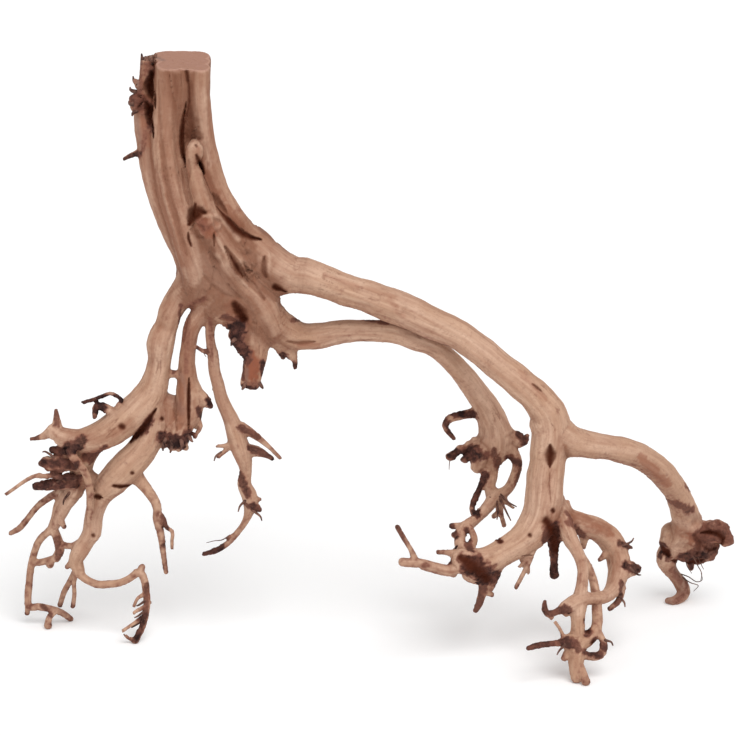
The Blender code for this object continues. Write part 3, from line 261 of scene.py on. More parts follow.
RIGHT_ROOTS = {
    "right_leg": [(275.6, 215, 20.5, 9.3), (274.5, 223, 21, 9.4), (273.5, 231, 22, 9.1),
        (272.5, 240, 23, 9.6), (271.5, 250, 25, 9.4), (270, 257.5, 26, 9), (266.5, 265, 28, 8.8),
        (260, 271, 30, 7.6), (252.5, 275.5, 32, 7), (245, 279.5, 34, 6.8), (238, 281, 36, 6.2),
        (231, 280.3, 38, 5.6)],
    "end_lump": [(236, 285.5, 35, 5.6), (240, 288, 34, 4.6)],
    "end_root": [(231, 282, 38, 4.6), (225, 285, 40, 3), (218.5, 284, 42, 2.6),
        (210, 281.6, 44, 2.3), (204, 281.3, 45, 2.2), (201.3, 281, 45, 2.2)],
    "end_web": [(227, 287, 39, 1.6), (219, 285.5, 41, 1.8), (211, 283.5, 43, 1.4)],
    "end_twig": [(207.5, 280, 44, 1.8), (206, 276, 44, 1.3), (202.5, 270, 45, 1.2),
        (198.7, 263.5, 46, 1.2)],
    "end_stub": [(228, 277, 36, 2.4), (223, 276.2, 35, 1.3), (219, 276, 34, 1.1)],
    "dark_root": [(243, 286, 32, 4.4), (242, 292, 31, 3), (241, 297, 31, 2.1),
        (239.5, 302, 31, 1.8), (238, 305, 31, 1.5)],
    "dark_bump": [(243, 295.5, 31, 2.2), (246, 297.3, 31, 1.2)],
    "end_strip": [(250.5, 281.5, 33, 2.4), (248, 288, 33, 1.8), (245.3, 294, 32, 1.8)],
    "leg_twig": [(266, 274, 32, 2.2), (264.8, 280, 33, 1.4), (262.5, 285, 33, 1.2),
        (258, 293.8, 34, 1.1)],
    "leg_twig_side": [(264, 283, 33, 1), (264.5, 287, 33, 0.7), (265, 291, 33, 0.7)],
    "leg_twig_hook": [(263.5, 279, 33, 1.2), (259.5, 283.7, 34, 0.9)],
    "square_stub": [(277, 266, 22, 4.5), (277, 273, 22, 2.8), (277, 281, 22, 2),
        (277, 287.5, 22, 2.3)],
    "stub_nub": [(281, 275.5, 28, 2.5), (282, 279.5, 28, 1.1)],
    "cluster_base": [(273, 250, 22, 8), (279, 258, 22, 7), (281, 265, 24, 5.5)],
    "top_spike": [(284, 257, 22, 3), (284, 250.8, 21, 1)],
    "back_root": [(281, 258, 22, 5), (291.5, 262.3, 20, 5.8), (299, 265, 17, 6),
        (305, 270, 16, 6.4), (308.5, 277.5, 18, 6), (309.3, 285, 23, 5.5), (307.5, 292.5, 31, 4.5),
        (303, 298, 41, 3.4), (297.5, 299.2, 48, 3), (292.5, 299.3, 52, 3.2), (287.5, 301, 55, 3.8),
        (283, 304, 56, 3.6)],
    "bark_thorn": [(311, 285, 23, 4.5), (315.5, 284.5, 23, 3.6), (320, 284, 22, 1)],
    "bark_flake": [(309, 272.5, 17, 3), (315.5, 273.7, 17, 0.9)],
    "bark_edge": [(311.3, 294, 28, 1.6), (309.5, 300, 33, 1.6), (305, 304.3, 38, 1.3)],
    "inner_spike": [(292, 268.5, 20, 2.6), (292, 273.8, 20, 1)],
    "inner_hook": [(303.5, 276.5, 20, 2.2), (299.5, 280.3, 22, 1)],
    "front_root": [(280, 256, 23, 4.6), (282.5, 262.5, 28, 4.1), (285.5, 270, 34, 3.8),
        (289, 276.5, 39, 3.2), (291, 282.5, 43, 2.9), (291.3, 290, 47, 2.9), (290.3, 297, 51, 3.3),
        (289, 303, 54, 4.4), (289, 311, 57, 3.4), (288.7, 317, 58, 3.6), (288, 322.5, 60, 4.8),
        (288, 328.5, 62, 4.2), (288, 334, 63.5, 3.4), (288.3, 338.8, 65, 2.9)],
    "front_foot": [(289.5, 332, 63.5, 2.4), (291.4, 336.5, 66, 2), (292.9, 340.8, 68.5, 2.2)],
    "mid_root": [(288, 275, 35, 2.8), (293, 282, 37, 2.3), (296.3, 289, 40, 2.2),
        (297.8, 297, 44, 2.3), (298.5, 306, 49, 2.6), (298.3, 313.5, 54, 2.8),
        (295.5, 318.5, 58, 3.2), (290.5, 321, 60, 3.8)],
    "foot_ring": [(298.5, 316, 56, 2), (301.5, 320, 58, 1.7), (302, 324.5, 59, 1.8),
        (300, 327.5, 59, 2.2), (296, 328.3, 60, 2), (291, 327, 61, 2)],
    "foot_knot": [(285, 321, 61, 4.4), (283, 321, 61.5, 3.4)],
    "foot_nub": [(284.5, 326, 62, 2.4), (282, 329, 63, 1.6)],
    "dark_stick": [(283, 321, 62, 2.2), (277, 321.7, 64, 1.6), (270, 322.4, 66, 1.5),
        (264.2, 324, 68, 1.3)],
    "side_hook": [(284, 303.5, 56, 2.6), (278.5, 305.7, 57, 1.7), (274, 307, 58, 1.7),
        (272.4, 304.5, 58, 1.6), (272.5, 301, 58, 1.1)],
    "hook_string": [(273.5, 306.5, 58, 1.2), (277.5, 311, 59, 0.9), (280.5, 315.5, 60, 0.9),
        (282.3, 320, 61, 1.2)],
    "side_nub": [(284.5, 305, 56, 2), (283.2, 307.5, 56, 1.1)],
    "right_arm": [(274, 212, 20, 9), (284, 220, 19, 8), (292.5, 222, 16, 7),
        (302.5, 223.5, 11, 6.3), (311, 225, 6, 6.5), (319, 227.7, 0, 6.5), (327.5, 233, -8, 6.5),
        (334, 240, -16, 6.5), (339, 247.5, -24, 6.5), (342, 255, -31, 6.9), (342.8, 262, -36, 7.4),
        (340.5, 268, -39, 7), (336, 274, -43, 5.8), (333.3, 279.5, -45, 5.5), (334.5, 284, -46, 4),
        (337.5, 288, -47, 3.3), (340.5, 292, -47, 3.7), (341.8, 296, -46, 3.6),
        (339.5, 299.2, -42, 2.8), (336.5, 300.4, -40, 2.3), (334, 300.4, -41.4, 1.7)],
    "arm_lobe": [(335, 266, -38, 5), (333.5, 271, -40, 4)],
    "burl": [(345, 263, -37, 5), (353, 266, -36, 5.4), (359.5, 265.7, -34, 5.2),
        (363.3, 269.3, -34, 3.4)],
    "burl_middle": [(344, 269, -39, 6), (350.5, 270.5, -38, 6.6), (355, 273.5, -38, 5)],
    "burl_low": [(343, 275.5, -41, 4.8), (349, 277, -40, 5), (354, 276.5, -39, 3.4)],
    "burl_stub": [(345.5, 279, -40, 2.6), (345.5, 283.8, -40, 1.6)],
}

ROOT_GROUPS = (TRUNK, BRANCHES, LEFT_ROOTS, MIDDLE_ROOTS, RIGHT_ROOTS)


# %% [markdown]
# A station is read in the eye's view, so it is first placed in space. Then a smooth curve
# is run through the stations of a root, with a point every 2 mm. On the real wood this
# curve is the pith of the root.

# %% From stations to smooth curves
POINT_GAP = 2.0 * MM


def place(across, drop, front):
    """The point in the frame that the eye sees at (across, drop), so far to the front."""
    sideways = across * MM - EYE_ACROSS
    upwards = EYE_DROP - drop * MM
    y = -front * MM
    cos_tilt, sin_tilt = math.cos(EYE_TILT), math.sin(EYE_TILT)
    z = upwards * (EYE_DISTANCE + y * cos_tilt) - EYE_DISTANCE * y * sin_tilt
    z /= EYE_DISTANCE * cos_tilt + upwards * sin_tilt
    depth = EYE_DISTANCE + y * cos_tilt - z * sin_tilt
    return np.array([sideways * depth / EYE_DISTANCE, y, z]) - MIDDLE


def smooth_run(stations):
    """Points (x, y, z, radius) along a smooth curve through the stations."""
    knots = np.array([(*place(*station[:3]), station[3] * MM) for station in stations])
    if len(knots) == 1:
        knots = np.vstack([knots, knots + (0, 0, 0.2 * MM, 0)])
    steps = np.diff(knots, axis=0)
    lengths = np.linalg.norm(steps[:, :3], axis=1)
    slopes = steps / lengths[:, None]
    tangents = np.vstack([slopes[:1], slopes, slopes[-1:]])
    weights = np.concatenate([lengths[:1], lengths, lengths[-1:]])
    tangents = tangents[:-1] * weights[1:, None] + tangents[1:] * weights[:-1, None]
    tangents /= (weights[1:] + weights[:-1])[:, None]
    points = []
    for index, length in enumerate(lengths):
        count = max(2, round(length / POINT_GAP))
        for t in np.arange(count) / count:
            points.append((2 * t**3 - 3 * t**2 + 1) * knots[index]
                          + (t**3 - 2 * t**2 + t) * length * tangents[index]
                          + (3 * t**2 - 2 * t**3) * knots[index + 1]
                          + (t**3 - t**2) * length * tangents[index + 1])
    return np.array(points + [knots[-1]])


# the sawn stems have grown together at the top, so the hollows between them are filled there
FILLERS = {
    "front_filler": [(92.4, 24, 6.2, 4.6), (92.5, 31, 5.6, 4.4), (93, 42, 4, 4)],
    "back_filler": [(91, 24, -10.6, 5.4), (91, 45, -10.4, 5.2), (93, 66, -9, 5)],
}
runs = {name: smooth_run(stations)
        for group in (*ROOT_GROUPS, FILLERS) for name, stations in group.items()}
print(len(runs), "roots,", sum(len(run) for run in runs.values()), "points")

# %% [markdown]
# The tubes come first. One curve object holds every root as a poly line with a round bevel,
# and the radius of each point gives the taper. A few shrinking rings close each end with a
# dome. The curve is turned into a mesh, and a voxel Remesh draws one skin over all of the
# overlapping tubes, the way shrink film would, but without any inner walls.

# %% Lay the tubes and draw one skin over them
END_STEPS = ((0.45, 0.89), (0.80, 0.60), (0.97, 0.24))


def rounded_ends(run):
    """The same run with a dome of shrinking rings at both ends."""
    first = run[1, :3] - run[0, :3]
    last = run[-1, :3] - run[-2, :3]
    first /= np.linalg.norm(first)
    last /= np.linalg.norm(last)
    head = [(*(run[0, :3] - first * run[0, 3] * far), run[0, 3] * left)
            for far, left in END_STEPS]
    tail = [(*(run[-1, :3] + last * run[-1, 3] * far), run[-1, 3] * left)
            for far, left in END_STEPS]
    return np.vstack([head[::-1], run, tail])


def tubes(name, lines, roundness):
    """A mesh object of round tubes along the lines, made as one bevelled curve."""
    bpy.ops.object.select_all(action="DESELECT")
    bpy.ops.curve.primitive_nurbs_path_add()
    thing = bpy.context.object
    thing.name = name
    curve = thing.data
    curve.splines.clear()
    curve.bevel_depth = 1.0
    curve.bevel_resolution = roundness
    curve.use_fill_caps = True
    for line in lines:
        spline = curve.splines.new("POLY")
        spline.points.add(len(line) - 1)
        spline.points.foreach_set("co", np.column_stack([line[:, :3], np.ones(len(line))]).ravel())
        spline.points.foreach_set("radius", line[:, 3])
    bpy.ops.object.convert(target="MESH")
    return bpy.context.object


def apply_modifier(thing, kind, **settings):
    """Add a modifier, give it its settings, and apply it at once."""
    modifier = thing.modifiers.new(kind.lower(), kind)
    for key, value in settings.items():
        setattr(modifier, key, value)
    bpy.ops.object.select_all(action="DESELECT")
    thing.select_set(True)
    bpy.context.view_layer.objects.active = thing
    bpy.ops.object.modifier_apply(modifier=modifier.name)


LEAST = 0.6 * MM       # thinner twigs would fall apart in the remesh
COARSE_CELL = 1.2 * MM
ROOT_ROUNDNESS = 4     # segments in a quarter of a tube
for run in runs.values():
    run[:, 3] = np.maximum(run[:, 3], LEAST)
wood = tubes("root_skin", [rounded_ends(run) for run in runs.values()], ROOT_ROUNDNESS)
apply_modifier(wood, "REMESH", mode="VOXEL", voxel_size=COARSE_CELL)
print("coarse skin:", len(wood.data.polygons), "faces")

# %% [markdown]
# The trunk was sawn off nearly level, and the lowest roots are worn flat where the wood
# stands. Both cuts are made with Bisect on the coarse skin, which is quick, and they are
# written down as planes, because the later steps have to keep the faces flat.

# %% Saw off the top and flatten the feet
SAW_LEVEL = 156.8 * MM
SAW_TILT = math.radians(6.5)
saw_normal = np.array([0, -math.sin(SAW_TILT), math.cos(SAW_TILT)])
saw_point = np.array([0, 0, SAW_LEVEL]) - MIDDLE


def keep_largest(thing):
    """Separate the loose parts and delete all but the one with the most faces."""
    bpy.ops.object.select_all(action="DESELECT")
    thing.select_set(True)
    bpy.context.view_layer.objects.active = thing
    bpy.ops.mesh.separate(type="LOOSE")
    parts = sorted(bpy.context.selected_objects, key=lambda part: len(part.data.polygons))
    for part in parts[:-1]:
        bpy.data.objects.remove(part)
    print("loose parts taken off:", len(parts) - 1)
    return parts[-1]


def bisect(thing, point, normal):
    """Take off what lies on the normal's side of the plane, and close the cut."""
    bpy.ops.object.select_all(action="DESELECT")
    thing.select_set(True)
    bpy.context.view_layer.objects.active = thing
    bpy.ops.object.mode_set(mode="EDIT")
    bpy.ops.mesh.select_all(action="SELECT")
    bpy.ops.mesh.bisect(plane_co=point, plane_no=normal, use_fill=True, clear_outer=True)
    bpy.ops.object.mode_set(mode="OBJECT")


bisect(wood, saw_point, saw_normal)
bisect(wood, (0, 0, 0), (0, 0, -1))
print("after the cuts:", len(wood.data.polygons), "faces")

# %% [markdown]
# A remeshed skin is stepped and has hard creases where roots meet. Real roots run into each
# other with soft hollows. So the skin is pulled onto a field: for each vertex the nearest
# roots are found, and their distances are blended with a soft minimum. The coarse skin is
# pulled first. A finer Remesh then gives even faces in the filled hollows too, and a second
# pull lays them exactly on the field. The same survey says how far along and around its
# root a vertex lies, which the grain needs later.

# %% Survey the nearest roots and pull the skin onto the soft field
SLOTS = 4              # roots that are kept for each vertex
REACH = 7.0 * MM       # roots farther off than this are left out
MOST_PULL = 1.5 * MM   # in one turn


def frames_along(run):
    """Axes across the run that turn as little as possible, and the length up to each point."""
    heading = np.gradient(run[:, :3], axis=0)
    heading /= np.linalg.norm(heading, axis=1)[:, None]
    side = np.cross(heading[0], (0.3, 0.9, 0.2))
    sides = []
    for ahead in heading:
        side = side - ahead * side.dot(ahead)
        side = side / np.linalg.norm(side)
        sides.append(side)
    steps = np.linalg.norm(np.diff(run[:, :3], axis=0), axis=1)
    return np.array(sides), np.cross(heading, sides), np.concatenate([[0], np.cumsum(steps)])


run_frames = [(run, *frames_along(run)) for run in runs.values()]


def survey(points):
    """The nearest roots of each point: gap, outward direction, grain place and radius."""
    gap = np.full((len(points), SLOTS), 1.0)
    away = np.zeros((len(points), SLOTS, 3))
    grain = np.zeros((len(points), SLOTS, 3))
    thick = np.full((len(points), SLOTS), 1.0 * MM)
    owner = np.full((len(points), SLOTS), -1)
    for number, (run, side, other, along) in enumerate(run_frames):
        margin = run[:, 3].max() + REACH
        near = np.flatnonzero(((points > run[:, :3].min(0) - margin)
                               & (points < run[:, :3].max(0) + margin)).all(1))
        if not len(near):
            continue
        here = points[near]
        square = (here**2).sum(1)[:, None] - 2 * here @ run[:, :3].T + (run[:, :3]**2).sum(1)
        closest = (np.sqrt(np.maximum(square, 0)) - run[:, 3]).argmin(1)
        best = np.full(len(near), 9.0)
        kept = np.zeros((len(near), 7))
        for back in (1, 0):
            start = np.clip(closest - back, 0, len(run) - 2)
            base = run[start, :3]
            step = run[start + 1, :3] - base
            t = np.clip(((here - base) * step).sum(1) / (step**2).sum(1), 0, 1)
            offset = here - base - step * t[:, None]
            length = np.linalg.norm(offset, axis=1)
            radius = run[start, 3] * (1 - t) + run[start + 1, 3] * t
            better = length - radius < best
            best[better] = (length - radius)[better]
            values = np.column_stack([offset / np.maximum(length, 1e-6)[:, None],
                                      (offset * side[start]).sum(1), (offset * other[start]).sum(1),
                                      along[start] * (1 - t) + along[start + 1] * t, radius])
            kept[better] = values[better]
        worst = gap[near].argmax(1)
        take = best < gap[near, worst]
        rows, slots = near[take], worst[take]
        gap[rows, slots] = best[take]
        away[rows, slots] = kept[take, :3]
        grain[rows, slots] = kept[take, 3:6] + (number * 0.37, number * 0.11, 0)
        thick[rows, slots] = kept[take, 6]
        owner[rows, slots] = number
    order = gap.argsort(1)
    return (np.take_along_axis(gap, order, 1), np.take_along_axis(away, order[..., None], 1),
            np.take_along_axis(grain, order[..., None], 1), np.take_along_axis(thick, order, 1),
            np.take_along_axis(owner, order, 1))


def ramp(low, high, value):
    """0 below low, 1 above high, and a soft step between."""
    t = np.clip((value - low) / (high - low), 0, 1)
    return t * t * (3 - 2 * t)


def unit(vectors):
    """The same directions, each one metre long."""
    return vectors / np.maximum(np.linalg.norm(vectors, axis=-1), 1e-9)[..., None]


TOP_LEVEL = SAW_LEVEL - MIDDLE[2]
COLLAR = place(121, 140, 5)


def soft_field(points):
    """Distance to the blended wood, the way outwards, and how deep in a valley a point lies."""
    gap, away, _, thick, _ = survey(points)
    soft = np.clip(0.17 * np.sqrt(thick[:, 0] * thick[:, 1]), 0.3 * MM, 1.3 * MM)
    top = ramp(TOP_LEVEL - 60 * MM, TOP_LEVEL, points[:, 2])
    collar = ramp(48 * MM, 18 * MM, np.linalg.norm(points - COLLAR, axis=1))
    soft = (soft * (1 + 1.6 * top + 1.3 * collar))[:, None]
    turn = 1 - (away * away[:, :1]).sum(2)
    share = ramp(0.0, 0.5, turn) * np.exp((gap[:, :1] - gap) / soft)
    share[:, 0] = 1
    valley = soft[:, 0] * np.log(share.sum(1))
    outward = unit((away * share[..., None]).sum(1))
    field = gap[:, 0] - valley
    above_saw = (points - saw_point) @ saw_normal
    below_floor = -points[:, 2]
    for cut, way in ((above_saw, saw_normal), (below_floor, np.array([0, 0, -1.0]))):
        over = cut > field
        field = np.where(over, cut, field)
        outward[over] = way
    return field, outward, valley


def read_points(mesh):
    """All vertices of a mesh as rows of x, y, z."""
    flat = np.empty(len(mesh.vertices) * 3)
    mesh.vertices.foreach_get("co", flat)
    return flat.reshape(-1, 3)


def write_points(mesh, points):
    """Put the vertices of a mesh at these points."""
    mesh.vertices.foreach_set("co", points.ravel())
    mesh.update()


def pull_onto_field(thing, turns):
    """Move every vertex along the field's slope until the field is nought there."""
    points = read_points(thing.data)
    for _ in range(turns):
        field, outward, _ = soft_field(points)
        points -= outward * np.clip(field, -MOST_PULL, MOST_PULL)[:, None]
    write_points(thing.data, points)
    return points


pull_onto_field(wood, 4)
apply_modifier(wood, "REMESH", mode="VOXEL", voxel_size=SKIN_CELL)
wood = keep_largest(wood)
points = pull_onto_field(wood, 2)
field, outward, valley = soft_field(points)
count = len(points)
print("fine skin:", len(wood.data.polygons), "faces")
print("left off the field, in mm:", round(float(np.abs(field).mean()) / MM, 3))

# %% [markdown]
# Bare root wood is never smooth. Along each root run flutes and fibres, across it lie lumps,
# and where the wood dried it split. All of this follows the root, so the noise is read in
# the root's own place: across its pith in the small, and stretched along it. Where roots
# meet, the noise of both is blended, so that the grain flows from one into the other.

# %% A soft noise, and the same noise stretched along the roots
LATTICE = 32           # cells before the noise repeats
BLEND_OVER = 1.0 * MM  # how softly the grain passes from one root into the next
lattice = np.random.default_rng(7).normal(size=(LATTICE, LATTICE, LATTICE, 3))
lattice /= np.linalg.norm(lattice, axis=3)[..., None]


def noise(places):
    """Soft noise between about -1 and 1, with places counted in cells."""
    cell = np.floor(places).astype(int)
    t = places - cell
    soft = t * t * t * (t * (t * 6 - 15) + 10)
    total = np.zeros(len(places))
    for corner in np.ndindex(2, 2, 2):
        index = (cell + corner) % LATTICE
        slope = (lattice[index[:, 0], index[:, 1], index[:, 2]] * (t - corner)).sum(1)
        total += slope * np.where(corner, soft, 1 - soft).prod(1)
    return total * 1.5


gap, away, grain, thick, owner = survey(points)
blend = np.exp((gap[:, :1] - gap) / BLEND_OVER)
blend[gap > 3 * MM] = 0
blend[:, 0] = np.maximum(blend[:, 0], 1e-6)
blend /= blend.sum(1)[:, None]
girth = (blend * thick).sum(1)


def along_grain(across, along, seed):
    """Noise stretched along the roots; across and along are the sizes of a cell in mm."""
    cells = np.array([across, across, along]) * MM
    return sum(blend[:, slot] * noise(grain[:, slot] / cells + seed) for slot in range(3))


print("half width of the roots in mm:", (girth.min() / MM).round(2), (girth.max() / MM).round(2))

# %% [markdown]
# Now the relief itself. Broad flutes run down every root, narrow ribs and fibres lie
# between them, soft lumps cross them, and a few long splits open where the wood dried. The
# faces that were sawn or worn flat are left out, except on the rotten stem at the top.

# %% Carve flutes, fibres, lumps and splits
saw_face = ramp(-0.6 * MM, -0.1 * MM, (points - saw_point) @ saw_normal)
foot_face = ramp(0.8 * MM, 0.2 * MM, points[:, 2])
free = (1 - saw_face) * (1 - foot_face)
names = list(runs)
rotten = np.isin(owner[:, 0], [names.index("left_stem"), names.index("left_web")]) * saw_face
full = np.clip(girth / (8 * MM), 0.1, 1.3)
flutes = along_grain(4.6, 60, 0.0) * 0.55 + along_grain(2.6, 34, 5.5) * 0.3
ribs = np.abs(along_grain(2.1, 26, 11.2))
fibres = along_grain(1.15, 12, 21.7)
lumps = noise(points / (11 * MM) + 3.1) * 0.5 + noise(points / (5 * MM) + 8.4) * 0.28
split_place = along_grain(3.1, 36, 31.3)
splits = ramp(0.07, 0.0, np.abs(split_place)) * ramp(0.18, 0.5, noise(points / (13 * MM) + 40.5))
relief = (flutes * full * 0.8 - ramp(0.2, 0.0, ribs) * 0.16 * full**0.5 + fibres * 0.08
          + lumps * full * 0.85 - splits * 0.45 * full**0.5) * MM
relief -= np.clip(valley / MM, 0, 1) * 0.25 * MM
points += outward * (relief * free)[:, None]
write_points(wood.data, points)
print("relief in mm:", (relief.min() / MM).round(2), "to", (relief.max() / MM).round(2))

# %% [markdown]
# Some marks have a place of their own: the groove between the two front stems, the dark
# pocket over the knot, the hollow where the left stem rotted. A sculptor would draw them
# on the wood with a pencil first. Here they are lines in the eye's view, in pixels of a
# picture 736 wide, so that a mark can be moved by reading two numbers off a render.

# %% Places of the grooves, cracks and holes
PIXEL = 0.5            # mm of the view in one pixel
